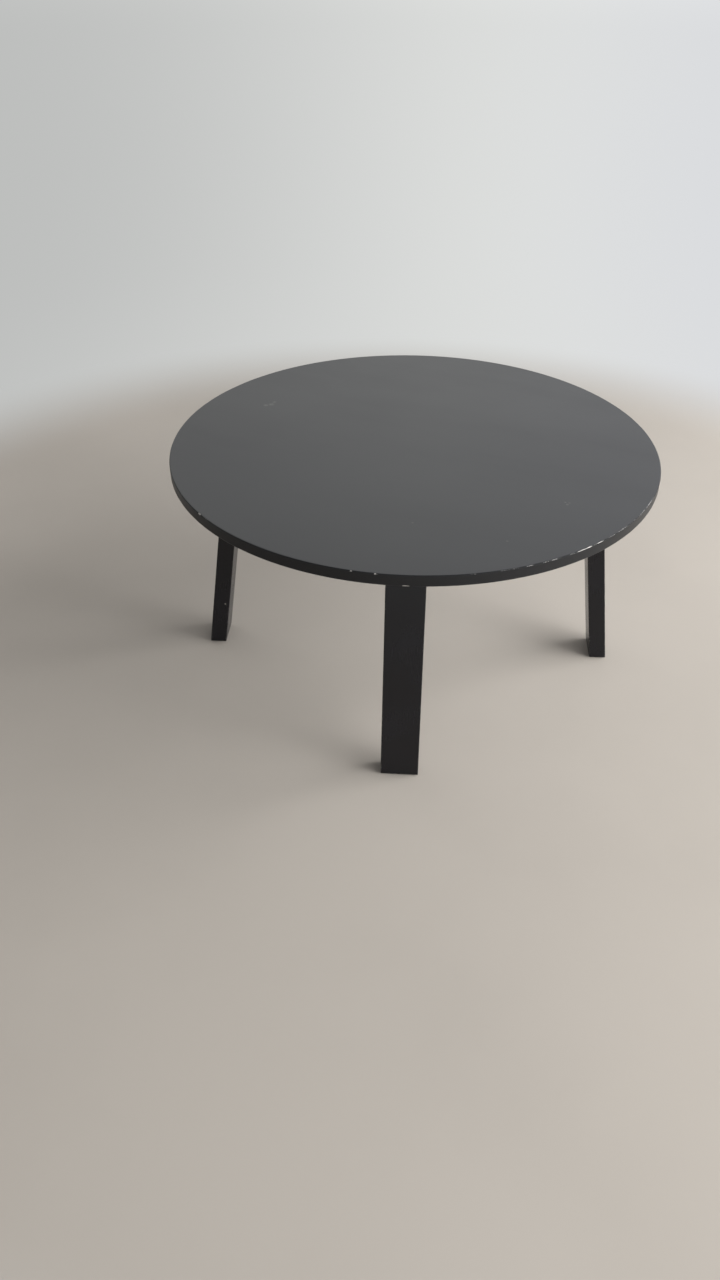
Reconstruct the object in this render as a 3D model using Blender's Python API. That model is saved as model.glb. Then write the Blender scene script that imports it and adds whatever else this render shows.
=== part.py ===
"""Round coffee table: a lacquered disc on four splayed plank legs, carried by two half-lapped cross rails.

Metres, +Z up. The origin is on the floor, under the middle of the top. The legs stand at the front (-Y),
right (+X), back (+Y) and left (-X). Each leg meets its end of a rail on a slanted butt joint, lined up by
two dowels and pulled tight by one bolt in a barrel nut. Screws through the rails hold the top down.
"""

import math

import bmesh
import bpy
from mathutils import Matrix

# The top: one round board with eased edges
TOP_DIAMETER = 0.800
TABLE_HEIGHT = 0.400
TOP_THICKNESS = 0.018
TOP_EDGE_RADIUS = 0.002

# The legs: planks with their broad face outwards, leaning out towards the floor
LEG_WIDTH = 0.060
LEG_THICKNESS = 0.029
LEG_SPLAY = math.radians(8.0)
LEG_EDGE_RADIUS = 0.0015
FOOT_INSET = 0.034  # in plan, from the rim of the top to the outer edge of a foot

# The cross rails under the top
RAIL_DEPTH = 0.055
RAIL_THICKNESS = 0.029
RAIL_EDGE_RADIUS = 0.001

# The dowels across each joint of a leg and a rail
DOWEL_DIAMETER = 0.008
DOWEL_LENGTH = 0.040
DOWEL_IN_LEG = 0.016
DOWEL_EDGE = 0.0125  # from a dowel's axis to the rail's upper or lower edge, at the joint
DOWEL_CHAMFER = 0.0008

# The bolt that pulls a leg onto its rail, and the barrel nut it screws into
BOLT_DIAMETER = 0.006
BOLT_HEAD_DIAMETER = 0.016
BOLT_HEAD_HEIGHT = 0.0025
BOLT_HEAD_RECESS = 0.0005  # from the leg's outer face down to the head
BOLT_SOCKET_WIDTH = 0.004
BOLT_SOCKET_DEPTH = 0.0015
BOLT_CHAMFER = 0.0005
BOLT_PAST_NUT = 0.004
NUT_DIAMETER = 0.010
NUT_COVER = 0.0045  # wood between an end of the nut and the rail's side
NUT_SETBACK = 0.030  # from the joint's face to the nut's axis
NUT_CHAMFER = 0.0006

# The screws that hold the top on the rails
SCREW_DIAMETER = 0.004
SCREW_HEAD_DIAMETER = 0.008
SCREW_HEAD_HEIGHT = 0.0026
SCREW_HEAD_CHAMFER = 0.0013
SCREW_GRIP = 0.022  # wood between the head and the top
SCREW_COVER = 0.006  # wood of the top left over the screw's point
SCREW_TIP = 0.005
SCREW_SOCKET_WIDTH = 0.003
SCREW_SOCKET_DEPTH = 0.0014
SCREW_LAP_OFFSET = 0.075  # from the table's axis to the inner screws
SCREW_LEG_SETBACK = 0.078  # from a leg's inner face, under the top, to the outer screw

# The glides let into the feet, each with its countersunk screw
GLIDE_THICKNESS = 0.003
GLIDE_PROUD = 0.0008  # how far a glide stands out of its foot
GLIDE_MARGIN = 0.004  # from the glide's rim to the edge of the foot
GLIDE_CHAMFER = 0.0006
GLIDE_SCREW_DIAMETER = 0.0035
GLIDE_SCREW_HEAD_DIAMETER = 0.007
GLIDE_SCREW_LENGTH = 0.018
GLIDE_SCREW_TIP = 0.004
GLIDE_SCREW_RECESS = 0.0006  # from the floor up to the screw's head

# Gaps: between pieces that touch, and past the end of a blind hole
CLEARANCE = 0.0003
HOLE_SPARE = 0.0005
CUT_PAST = 0.002  # how far a cutter runs out of the surface that it opens

# Facets of the round shapes
TOP_SIDES = 128
FASTENER_SIDES = 16
GLIDE_SIDES = 24
HEX_SIDES = 6
EDGE_SEGMENTS = 3
SHARP_ANGLE = math.radians(35.0)
MERGE_DISTANCE = 0.00001

# Levels and plan sizes that follow from the sizes above
UNDERSIDE = TABLE_HEIGHT - TOP_THICKNESS
FRAME_TOP = UNDERSIDE - CLEARANCE
RAIL_BOTTOM = FRAME_TOP - RAIL_DEPTH
RAIL_MIDDLE = FRAME_TOP - RAIL_DEPTH / 2
FOOT_LEVEL = GLIDE_PROUD
LEG_RUN = LEG_THICKNESS / math.cos(LEG_SPLAY)  # a leg's thickness measured level
JOINT_GAP_RUN = CLEARANCE / math.cos(LEG_SPLAY)
SCREW_SEAT = UNDERSIDE - SCREW_GRIP
SCREW_BITE = TOP_THICKNESS - SCREW_COVER  # length in the top
DOWEL_SPACING = RAIL_DEPTH - 2 * DOWEL_EDGE
NUT_LENGTH = RAIL_THICKNESS - 2 * NUT_COVER

# The four arms of the frame, by the side of the table they point to, as turns about +Z from +X
ARM_TURNS = {"right": 0.0, "back": math.pi / 2, "left": math.pi, "front": -math.pi / 2}


def outer_face(level):
    """Distance from the table's axis to a leg's outer face at a height."""
    return TOP_DIAMETER / 2 - FOOT_INSET - level * math.tan(LEG_SPLAY)


def inner_face(level):
    """Distance from the table's axis to a leg's inner face at a height."""
    return outer_face(level) - LEG_RUN


def joint_matrix(along_leg=0.0, past_face=0.0):
    """Frame of an arm's joint: +Z square to the leg and outwards, the origin on the leg's inner face.

    along_leg moves it up the leg from the middle of the rail, and past_face moves it into the leg.
    """
    middle = Matrix.Translation((inner_face(RAIL_MIDDLE), 0.0, RAIL_MIDDLE))
    square = Matrix.Rotation(math.pi / 2 - LEG_SPLAY, 4, "Y")
    return middle @ square @ Matrix.Translation((-along_leg, 0.0, past_face))


def foot_centre():
    """Distance from the table's axis to the middle of a foot."""
    return outer_face(FOOT_LEVEL) - LEG_RUN / 2


def glide_radius():
    """Radius of a glide, which leaves a margin of wood round it."""
    return LEG_RUN / 2 - GLIDE_MARGIN


def screw_radii():
    """Distances from the table's axis to the inner and the outer screw of an arm."""
    return (SCREW_LAP_OFFSET, inner_face(UNDERSIDE) - SCREW_LEG_SETBACK)


def clear_scene():
    """Empties the scene of what it starts with."""
    for obj in list(bpy.data.objects):
        bpy.data.objects.remove(obj, do_unlink=True)


def material(name, colour, roughness, metallic=0.0):
    """A plain Principled material."""
    made = bpy.data.materials.new(name)
    made.use_nodes = True
    shader = made.node_tree.nodes["Principled BSDF"]
    shader.inputs["Base Color"].default_value = (*colour, 1.0)
    shader.inputs["Roughness"].default_value = roughness
    shader.inputs["Metallic"].default_value = metallic
    return made


def mesh_from(bm, name):
    """Turns a bmesh into a mesh with its faces outwards and its round faces smooth."""
    bmesh.ops.recalc_face_normals(bm, faces=bm.faces)
    mesh = bpy.data.meshes.new(name)
    bm.to_mesh(mesh)
    bm.free()
    mesh.shade_smooth()
    mesh.set_sharp_from_angle(angle=SHARP_ANGLE)
    return mesh


def turned(name, profile, sides, ring=False):
    """Mesh of a (radius, height) profile turned about Z. A ring's profile closes on itself."""
    bm = bmesh.new()
    verts = [bm.verts.new((radius, 0.0, height)) for radius, height in profile]
    ends = verts[1:] + verts[:1] if ring else verts[1:]
    edges = [bm.edges.new(pair) for pair in zip(verts, ends)]
    bmesh.ops.spin(
        bm, geom=verts + edges, axis=(0.0, 0.0, 1.0), cent=(0.0, 0.0, 0.0),
        angle=2 * math.pi, steps=sides, use_merge=True,
    )
    bmesh.ops.remove_doubles(bm, verts=bm.verts, dist=MERGE_DISTANCE)
    return mesh_from(bm, name)


def plank(name, outline, thickness, eased, radius):
    """Mesh of an (x, z) outline with a thickness across Y. eased(edge) picks the edges that are rounded."""
    bm = bmesh.new()
    face = bm.faces.new([bm.verts.new((x, -thickness / 2, z)) for x, z in outline])
    grown = bmesh.ops.extrude_face_region(bm, geom=[face])["geom"]
    far_side = [item for item in grown if isinstance(item, bmesh.types.BMVert)]
    bmesh.ops.translate(bm, verts=far_side, vec=(0.0, thickness, 0.0))
    bmesh.ops.bevel(
        bm, geom=[edge for edge in bm.edges if eased(edge)], offset=radius,
        segments=EDGE_SEGMENTS, profile=0.5, affect="EDGES",
    )
    return mesh_from(bm, name)


def link(name, mesh):
    """An object of a mesh, in the scene."""
    obj = bpy.data.objects.new(name, mesh)
    bpy.context.scene.collection.objects.link(obj)
    return obj


def rod(radius, low, high, sides=FASTENER_SIDES):
    """Mesh of a round rod about Z between two heights, used to cut a hole."""
    return turned("rod", [(0.0, low), (radius, low), (radius, high), (0.0, high)], sides)


def block(size, centre):
    """Mesh of a box, used to cut a notch."""
    bm = bmesh.new()
    shape = Matrix.Translation(centre) @ Matrix.Diagonal((*size, 1.0))
    bmesh.ops.create_cube(bm, size=1.0, matrix=shape)
    return mesh_from(bm, "block")


def drilled(blank, cuts):
    """The blank's mesh with each cut, a (mesh, matrix) pair, taken out of it."""
    body = link("blank", blank)
    cutters = []
    for mesh, matrix in cuts:
        cutter = link("cutter", mesh)
        cutter.matrix_world = matrix
        cutter.hide_render = True
        cutter.display_type = "WIRE"
        cutters.append(cutter)
        modifier = body.modifiers.new("cut", "BOOLEAN")
        modifier.operation = "DIFFERENCE"
        modifier.solver = "EXACT"
        modifier.object = cutter
    bpy.context.view_layer.update()
    evaluated = body.evaluated_get(bpy.context.evaluated_depsgraph_get())
    mesh = bpy.data.meshes.new_from_object(evaluated)
    mesh.name = blank.name
    for obj in [body, *cutters]:
        bpy.data.objects.remove(obj, do_unlink=True)
    mesh.shade_smooth()
    mesh.set_sharp_from_angle(angle=SHARP_ANGLE)
    return mesh


def place(name, mesh, finish, parent, matrix=None):
    """A piece of the table: an object with one finish, set by a matrix in its parent's frame."""
    piece = link(name, mesh)
    if not mesh.materials:
        mesh.materials.append(finish)
    piece.parent = parent
    piece.matrix_local = matrix or Matrix.Identity(4)
    return piece


def frame_empty(name, turn):
    """An empty on the table's axis, turned to face one arm."""
    empty = link(name, None)
    empty.rotation_euler = (0.0, 0.0, turn)
    return empty


def hex_cutter(width, low, high):
    """Mesh that cuts a hexagon socket of a width across flats between two heights."""
    return rod(width / 2 / math.cos(math.pi / HEX_SIDES), low, high, HEX_SIDES)


def hole_radius(diameter):
    """Radius of the hole that a round piece passes through."""
    return diameter / 2 + CLEARANCE


def dowel_offsets():
    """Where the two dowels of a joint lie along the leg, from the bolt."""
    return (-DOWEL_SPACING / 2, DOWEL_SPACING / 2)


def bolt_levels():
    """Heights along a bolt from the joint's face: the shank's end, the head's underside, its outside."""
    head_top = LEG_THICKNESS - BOLT_HEAD_RECESS
    head_under = head_top - BOLT_HEAD_HEIGHT
    end = -(NUT_SETBACK + NUT_DIAMETER / 2 + BOLT_PAST_NUT)
    return end, head_under, head_top


def tabletop_mesh():
    """The round board, with pilot holes for the screws in its underside."""
    radius = TOP_DIAMETER / 2
    bm = bmesh.new()
    bmesh.ops.create_cone(
        bm, cap_ends=True, segments=TOP_SIDES, radius1=radius, radius2=radius, depth=TOP_THICKNESS,
        matrix=Matrix.Translation((0.0, 0.0, UNDERSIDE + TOP_THICKNESS / 2)),
    )
    rims = [edge for edge in bm.edges if abs(edge.verts[0].co.z - edge.verts[1].co.z) < MERGE_DISTANCE]
    bmesh.ops.bevel(
        bm, geom=rims, offset=TOP_EDGE_RADIUS, segments=EDGE_SEGMENTS, profile=0.5, affect="EDGES",
    )
    pilot = rod(hole_radius(SCREW_DIAMETER), UNDERSIDE - CUT_PAST, UNDERSIDE + SCREW_BITE + HOLE_SPARE)
    places = [
        Matrix.Rotation(turn, 4, "Z") @ Matrix.Translation((distance, 0.0, 0.0))
        for turn in ARM_TURNS.values()
        for distance in screw_radii()
    ]
    return drilled(mesh_from(bm, "tabletop"), [(pilot, matrix) for matrix in places])


def leg_mesh():
    """A leaning plank, level at both ends, bored for its dowels and bolt and for its glide and screw."""
    outline = [
        (outer_face(FOOT_LEVEL), FOOT_LEVEL),
        (outer_face(FRAME_TOP), FRAME_TOP),
        (inner_face(FRAME_TOP), FRAME_TOP),
        (inner_face(FOOT_LEVEL), FOOT_LEVEL),
    ]
    half_way = (FOOT_LEVEL + FRAME_TOP) / 2

    def eased(edge):
        """Every edge but the four round the end that meets the top."""
        return min(vert.co.z for vert in edge.verts) < half_way

    blank = plank("leg", outline, LEG_WIDTH, eased, LEG_EDGE_RADIUS)
    dowel_hole = rod(hole_radius(DOWEL_DIAMETER), -CUT_PAST, DOWEL_IN_LEG + HOLE_SPARE)
    cuts = [(dowel_hole, joint_matrix(offset)) for offset in dowel_offsets()]
    _, head_under, _ = bolt_levels()
    head_hole = hole_radius(BOLT_HEAD_DIAMETER)
    shank_hole = hole_radius(BOLT_DIAMETER)
    seat = head_under - CLEARANCE
    bolt_hole = [
        (0.0, -CUT_PAST), (shank_hole, -CUT_PAST), (shank_hole, seat), (head_hole, seat),
        (head_hole, LEG_THICKNESS + CUT_PAST), (0.0, LEG_THICKNESS + CUT_PAST),
    ]
    cuts.append((turned("bolt_hole", bolt_hole, FASTENER_SIDES), joint_matrix()))
    pocket = rod(
        glide_radius() + CLEARANCE, FOOT_LEVEL - CUT_PAST, GLIDE_THICKNESS + CLEARANCE, GLIDE_SIDES,
    )
    screw_hole = rod(
        hole_radius(GLIDE_SCREW_DIAMETER), GLIDE_THICKNESS - CUT_PAST,
        GLIDE_SCREW_RECESS + GLIDE_SCREW_LENGTH + HOLE_SPARE,
    )
    at_foot = Matrix.Translation((foot_centre(), 0.0, 0.0))
    cuts += [(pocket, at_foot), (screw_hole, at_foot)]
    return drilled(blank, cuts)


def rail_end_cuts():
    """The holes in the +X end of a rail: for two dowels, a bolt, its barrel nut and the top's screws."""
    dowel_hole = rod(hole_radius(DOWEL_DIAMETER), DOWEL_IN_LEG - DOWEL_LENGTH - HOLE_SPARE, CUT_PAST)
    cuts = [(dowel_hole, joint_matrix(offset)) for offset in dowel_offsets()]
    bolt_end, _, _ = bolt_levels()
    cuts.append((rod(hole_radius(BOLT_DIAMETER), bolt_end - HOLE_SPARE, CUT_PAST), joint_matrix()))
    nut_hole = rod(
        hole_radius(NUT_DIAMETER), -(RAIL_THICKNESS / 2 + CUT_PAST), NUT_LENGTH / 2 + CLEARANCE,
    )
    cuts.append((nut_hole, nut_matrix()))
    shank_hole = hole_radius(SCREW_DIAMETER)
    head_hole = hole_radius(SCREW_HEAD_DIAMETER)
    screw_hole = [
        (0.0, RAIL_BOTTOM - CUT_PAST), (head_hole, RAIL_BOTTOM - CUT_PAST), (head_hole, SCREW_SEAT),
        (shank_hole, SCREW_SEAT), (shank_hole, FRAME_TOP + CUT_PAST), (0.0, FRAME_TOP + CUT_PAST),
    ]
    screw_hole = turned("screw_hole", screw_hole, FASTENER_SIDES)
    cuts += [(screw_hole, Matrix.Translation((radius, 0.0, 0.0))) for radius in screw_radii()]
    return cuts


def rail_mesh(name, notch_from_above):
    """A rail along X between two opposite legs, notched at its middle to half its depth."""
    top_reach = inner_face(FRAME_TOP) - JOINT_GAP_RUN
    bottom_reach = inner_face(RAIL_BOTTOM) - JOINT_GAP_RUN
    outline = [
        (bottom_reach, RAIL_BOTTOM),
        (top_reach, FRAME_TOP),
        (-top_reach, FRAME_TOP),
        (-bottom_reach, RAIL_BOTTOM),
    ]

    def eased(edge):
        """The two long edges underneath."""
        start, end = (vert.co for vert in edge.verts)
        return max(start.z, end.z) < RAIL_MIDDLE and start.x * end.x < 0.0

    blank = plank(name, outline, RAIL_THICKNESS, eased, RAIL_EDGE_RADIUS)
    turns = (Matrix.Identity(4), Matrix.Rotation(math.pi, 4, "Z"))
    cuts = [(mesh, turn @ matrix) for turn in turns for mesh, matrix in rail_end_cuts()]
    low, high = RAIL_BOTTOM - CUT_PAST, RAIL_MIDDLE + CLEARANCE
    if notch_from_above:
        low, high = RAIL_MIDDLE, FRAME_TOP + CUT_PAST
    notch_size = (RAIL_THICKNESS + 2 * CLEARANCE, RAIL_THICKNESS + 2 * CUT_PAST, high - low)
    cuts.append((block(notch_size, (0.0, 0.0, (low + high) / 2)), Matrix.Identity(4)))
    return drilled(blank, cuts)


def dowel_mesh():
    """A round dowel about Z, chamfered at both ends, from its end in the rail to its end in the leg."""
    radius = DOWEL_DIAMETER / 2
    low, high = DOWEL_IN_LEG - DOWEL_LENGTH, DOWEL_IN_LEG
    profile = [
        (0.0, low), (radius - DOWEL_CHAMFER, low), (radius, low + DOWEL_CHAMFER),
        (radius, high - DOWEL_CHAMFER), (radius - DOWEL_CHAMFER, high), (0.0, high),
    ]
    return turned("dowel", profile, FASTENER_SIDES)


def bolt_mesh():
    """A flat-headed bolt about Z with a hexagon socket, its zero height on the joint's face."""
    end, head_under, head_top = bolt_levels()
    shank = BOLT_DIAMETER / 2
    head = BOLT_HEAD_DIAMETER / 2
    profile = [
        (0.0, end), (shank - BOLT_CHAMFER, end), (shank, end + BOLT_CHAMFER),
        (shank, head_under), (head, head_under),
        (head, head_top - BOLT_CHAMFER), (head - BOLT_CHAMFER, head_top), (0.0, head_top),
    ]
    socket = hex_cutter(BOLT_SOCKET_WIDTH, head_top - BOLT_SOCKET_DEPTH, head_top + CUT_PAST)
    return drilled(turned("bolt", profile, FASTENER_SIDES), [(socket, Matrix.Identity(4))])


def nut_matrix():
    """Frame of a barrel nut: +Z along the nut, across the rail, and -Y along the bolt, outwards."""
    return joint_matrix(past_face=-NUT_SETBACK) @ Matrix.Rotation(-math.pi / 2, 4, "X")


def nut_mesh():
    """A barrel nut about Z, with the bolt's hole through its middle along Y."""
    radius = NUT_DIAMETER / 2
    half = NUT_LENGTH / 2
    profile = [
        (0.0, -half), (radius - NUT_CHAMFER, -half), (radius, NUT_CHAMFER - half),
        (radius, half - NUT_CHAMFER), (radius - NUT_CHAMFER, half), (0.0, half),
    ]
    bolt_hole = rod(hole_radius(BOLT_DIAMETER), -NUT_DIAMETER, NUT_DIAMETER)
    across = Matrix.Rotation(math.pi / 2, 4, "X")
    return drilled(turned("barrel_nut", profile, FASTENER_SIDES), [(bolt_hole, across)])


def screw_mesh():
    """A pan-headed wood screw about Z, pointing up, its zero height where the head seats."""
    shank = SCREW_DIAMETER / 2
    head = SCREW_HEAD_DIAMETER / 2
    length = SCREW_GRIP + SCREW_BITE
    profile = [
        (0.0, -SCREW_HEAD_HEIGHT), (head - SCREW_HEAD_CHAMFER, -SCREW_HEAD_HEIGHT),
        (head, SCREW_HEAD_CHAMFER - SCREW_HEAD_HEIGHT), (head, 0.0),
        (shank, 0.0), (shank, length - SCREW_TIP), (0.0, length),
    ]
    socket = hex_cutter(
        SCREW_SOCKET_WIDTH, -SCREW_HEAD_HEIGHT - CUT_PAST, SCREW_SOCKET_DEPTH - SCREW_HEAD_HEIGHT,
    )
    return drilled(turned("top_screw", profile, FASTENER_SIDES), [(socket, Matrix.Identity(4))])


def countersink(clearance):
    """The (radius, height) line of a glide's countersink, from the floor up, clear of the screw."""
    head = GLIDE_SCREW_HEAD_DIAMETER / 2
    shank = GLIDE_SCREW_DIAMETER / 2
    top_of_head = GLIDE_SCREW_RECESS + head - shank
    return [(head + clearance, GLIDE_SCREW_RECESS), (shank + clearance, top_of_head)]


def glide_mesh():
    """A round glide about Z with a countersunk hole, from the floor up into its pocket."""
    radius = glide_radius()
    (head_radius, head_level), (hole, hole_level) = countersink(CLEARANCE)
    profile = [
        (head_radius, 0.0), (radius - GLIDE_CHAMFER, 0.0), (radius, GLIDE_CHAMFER),
        (radius, GLIDE_THICKNESS), (hole, GLIDE_THICKNESS), (hole, hole_level), (head_radius, head_level),
    ]
    return turned("glide", profile, GLIDE_SIDES, ring=True)


def glide_screw_mesh():
    """A countersunk screw about Z, pointing up, its head just above the floor."""
    (head_radius, head_level), (shank, shank_level) = countersink(0.0)
    end = head_level + GLIDE_SCREW_LENGTH
    profile = [
        (0.0, head_level), (head_radius, head_level), (shank, shank_level),
        (shank, end - GLIDE_SCREW_TIP), (0.0, end),
    ]
    return turned("glide_screw", profile, FASTENER_SIDES)


def build():
    """Makes every piece and puts the assembly together."""
    clear_scene()
    top_lacquer = material("top_lacquer", (0.036, 0.037, 0.040), 0.36)
    leg_lacquer = material("leg_lacquer", (0.008, 0.008, 0.012), 0.38)
    rail_lacquer = material("rail_lacquer", (0.016, 0.016, 0.017), 0.5)
    beech = material("beech", (0.52, 0.35, 0.19), 0.6)
    zinc = material("zinc_plated_steel", (0.55, 0.55, 0.57), 0.35, 1.0)
    black_steel = material("blackened_steel", (0.03, 0.03, 0.032), 0.4, 1.0)
    nylon = material("black_nylon", (0.02, 0.02, 0.02), 0.55)

    table = frame_empty("table", 0.0)
    place("tabletop", tabletop_mesh(), top_lacquer, table)
    place("left_right_rail", rail_mesh("left_right_rail", True), rail_lacquer, table)
    across = Matrix.Rotation(math.pi / 2, 4, "Z")
    place("front_back_rail", rail_mesh("front_back_rail", False), rail_lacquer, table, across)

    leg, dowel, bolt, nut = leg_mesh(), dowel_mesh(), bolt_mesh(), nut_mesh()
    screw, glide, glide_screw = screw_mesh(), glide_mesh(), glide_screw_mesh()
    at_foot = Matrix.Translation((foot_centre(), 0.0, 0.0))
    for side, turn in ARM_TURNS.items():
        arm = frame_empty(f"{side}_arm", turn)
        arm.parent = table
        place(f"{side}_leg", leg, leg_lacquer, arm)
        for level, offset in zip(("lower", "upper"), dowel_offsets()):
            place(f"{side}_{level}_dowel", dowel, beech, arm, joint_matrix(offset))
        place(f"{side}_leg_bolt", bolt, black_steel, arm, joint_matrix())
        place(f"{side}_barrel_nut", nut, zinc, arm, nut_matrix())
        for where, radius in zip(("inner", "outer"), screw_radii()):
            seat = Matrix.Translation((radius, 0.0, SCREW_SEAT - CLEARANCE))
            place(f"{side}_{where}_top_screw", screw, zinc, arm, seat)
        place(f"{side}_glide", glide, nylon, arm, at_foot)
        place(f"{side}_glide_screw", glide_screw, zinc, arm, at_foot)


build()
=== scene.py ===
"""Looks of a round coffee table: a worn, satin-black disc on four splayed plank legs.

Metres, +Z up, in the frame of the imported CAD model, whose nodes give the places of all pieces. New pieces
are surfaces worked out on grids with numpy. Their finishes are built from shader nodes.
"""

import logging
import math
from dataclasses import dataclass, field, replace
from enum import Enum
from functools import partial, reduce

import bpy
import numpy as np
from mathutils import Matrix, Vector


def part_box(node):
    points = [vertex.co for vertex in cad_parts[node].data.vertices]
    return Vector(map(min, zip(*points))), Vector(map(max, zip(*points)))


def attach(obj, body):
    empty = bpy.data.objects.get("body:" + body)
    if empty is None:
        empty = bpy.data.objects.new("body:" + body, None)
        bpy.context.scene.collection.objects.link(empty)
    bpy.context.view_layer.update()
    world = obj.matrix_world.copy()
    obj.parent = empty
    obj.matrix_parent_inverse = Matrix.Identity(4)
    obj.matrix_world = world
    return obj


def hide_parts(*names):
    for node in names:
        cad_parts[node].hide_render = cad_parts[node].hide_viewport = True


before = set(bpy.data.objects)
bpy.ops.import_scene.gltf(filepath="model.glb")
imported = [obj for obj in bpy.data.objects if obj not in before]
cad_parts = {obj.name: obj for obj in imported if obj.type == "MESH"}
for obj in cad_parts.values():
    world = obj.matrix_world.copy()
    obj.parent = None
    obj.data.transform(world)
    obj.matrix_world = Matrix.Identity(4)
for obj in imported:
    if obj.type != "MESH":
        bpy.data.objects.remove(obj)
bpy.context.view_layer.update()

BODY = "root"
SHARP_ANGLE = math.radians(38.0)
QUARTER = math.pi / 2
ROUND = 2.0 * math.pi
# NICK eases the small edges of turned pieces. TINY is the slack in comparisons.
NICK = 0.0001
TINY = 1e-9

Array = np.ndarray
Socket = bpy.types.NodeSocket
Finish = bpy.types.Material
Colour = tuple[float, float, float]
Place = tuple[float, ...]
Feed = Socket | float | tuple[float, ...]

log = logging.getLogger("coffee_table")


class Side(Enum):
    """The side of the table that an arm of the frame points to, as degrees about +Z from +X."""

    RIGHT = 0.0
    BACK = 90.0
    LEFT = 180.0
    FRONT = -90.0

    @property
    def word(self) -> str:
        """The side's name as it stands in the CAD nodes."""
        return self.name.lower()

    @property
    def turn(self) -> Matrix:
        """The turn that carries the right arm to this side."""
        return Matrix.Rotation(math.radians(self.value), 4, "Z")


class Ends(Enum):
    """What becomes of a surface's first and last rows."""

    CAPPED = "each closes in a fan"
    JOINED = "they join each other"
    OPEN = "they stay open"


class Drive(Enum):
    """The recess in a screw's head, by the number of its corners or arms."""

    HEXAGON = 6
    CROSS = 4


def smooth_step(value: Array, low: float, high: float) -> Array:
    """Rises from 0 at low to 1 at high along 3t^2 - 2t^3, and stays flat outside."""
    share = np.clip((value - low) / (high - low), 0.0, 1.0)
    return share * share * (3.0 - 2.0 * share)


def ripple(value: Array, seed: float) -> Array:
    """An uneven wave between about -1 and 1: the mean of three sines whose periods share no multiple."""
    slow, fast = np.sin(value + seed), np.sin(6.17 * value + 2.9 * seed)
    return (slow + 0.7 * np.sin(2.63 * value + 1.7 * seed) + 0.45 * fast) / 2.15


def stacked(*parts: Array | float) -> Array:
    """Numbers and grids stretched to one shape and laid side by side on a new last axis."""
    return np.stack(np.broadcast_arrays(*parts), axis=-1)


def rounded(core: Array, turn: Array, radius: Array | float) -> Array:
    """An outline with rounded corners: core points plus the radius along their normals (cos t, sin t)."""
    return core + radius * stacked(np.cos(turn), np.sin(turn))


def full_round(count: int) -> Array:
    """So many even bearings round an axis, in radians."""
    return np.linspace(0.0, ROUND, count, endpoint=False)


def revolved(radius: Array, level: Array, bearing: Array) -> Array:
    """A section turned about +Z: (r cos b, r sin b, z) for its radius r and height z at each bearing b."""
    return stacked(radius * np.cos(bearing), radius * np.sin(bearing), level)


def eased_steps(length: float, steps: tuple[float, ...], middle: int) -> Array:
    """Stations along a flat between two rounded corners, crowded near both ends.

    Args:
        length: length of the flat.
        steps: distances from each end of the stations that are crowded there.
        middle: number of even stations between the crowded ones.

    Returns:
        Stations from 0 to length, without the two ends.
    """
    near = np.array(steps)
    between = np.linspace(near[-1], length - near[-1], middle + 2)[1:-1]
    return np.concatenate([near, between, length - near[::-1]])


def round_over(radius: float, level: float, ease: float, away: float, rows: int = 6) -> Array:
    """The eased rim of a turned face: a quarter circle from the face round to the side.

    Args:
        radius: radius of the side.
        level: height of the face.
        ease: radius of the quarter circle.
        away: -1 where the side runs down from the face, 1 where it runs up.
        rows: number of points.

    Returns:
        Points as (radius, height).
    """
    angle = np.linspace(QUARTER, 0.0, rows)
    return stacked(radius - ease + ease * np.cos(angle), level + away * ease * (1.0 - np.sin(angle)))


def scaled(colour: Colour, factor: float) -> Colour:
    """A colour made lighter or darker by a factor."""
    return tuple(part * factor for part in colour)


def over(node: str) -> Matrix:
    """The move from the table's axis to the middle of a CAD node, along the floor."""
    low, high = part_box(node)
    return Matrix.Translation(((low.x + high.x) / 2, (low.y + high.y) / 2, 0.0))


def refinish(node: str, finish: Finish) -> None:
    """Gives a CAD node that keeps its shape a new finish."""
    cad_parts[node].material_slots[0].material = finish
    log.info("%s: CAD shape, new finish", node)


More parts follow.
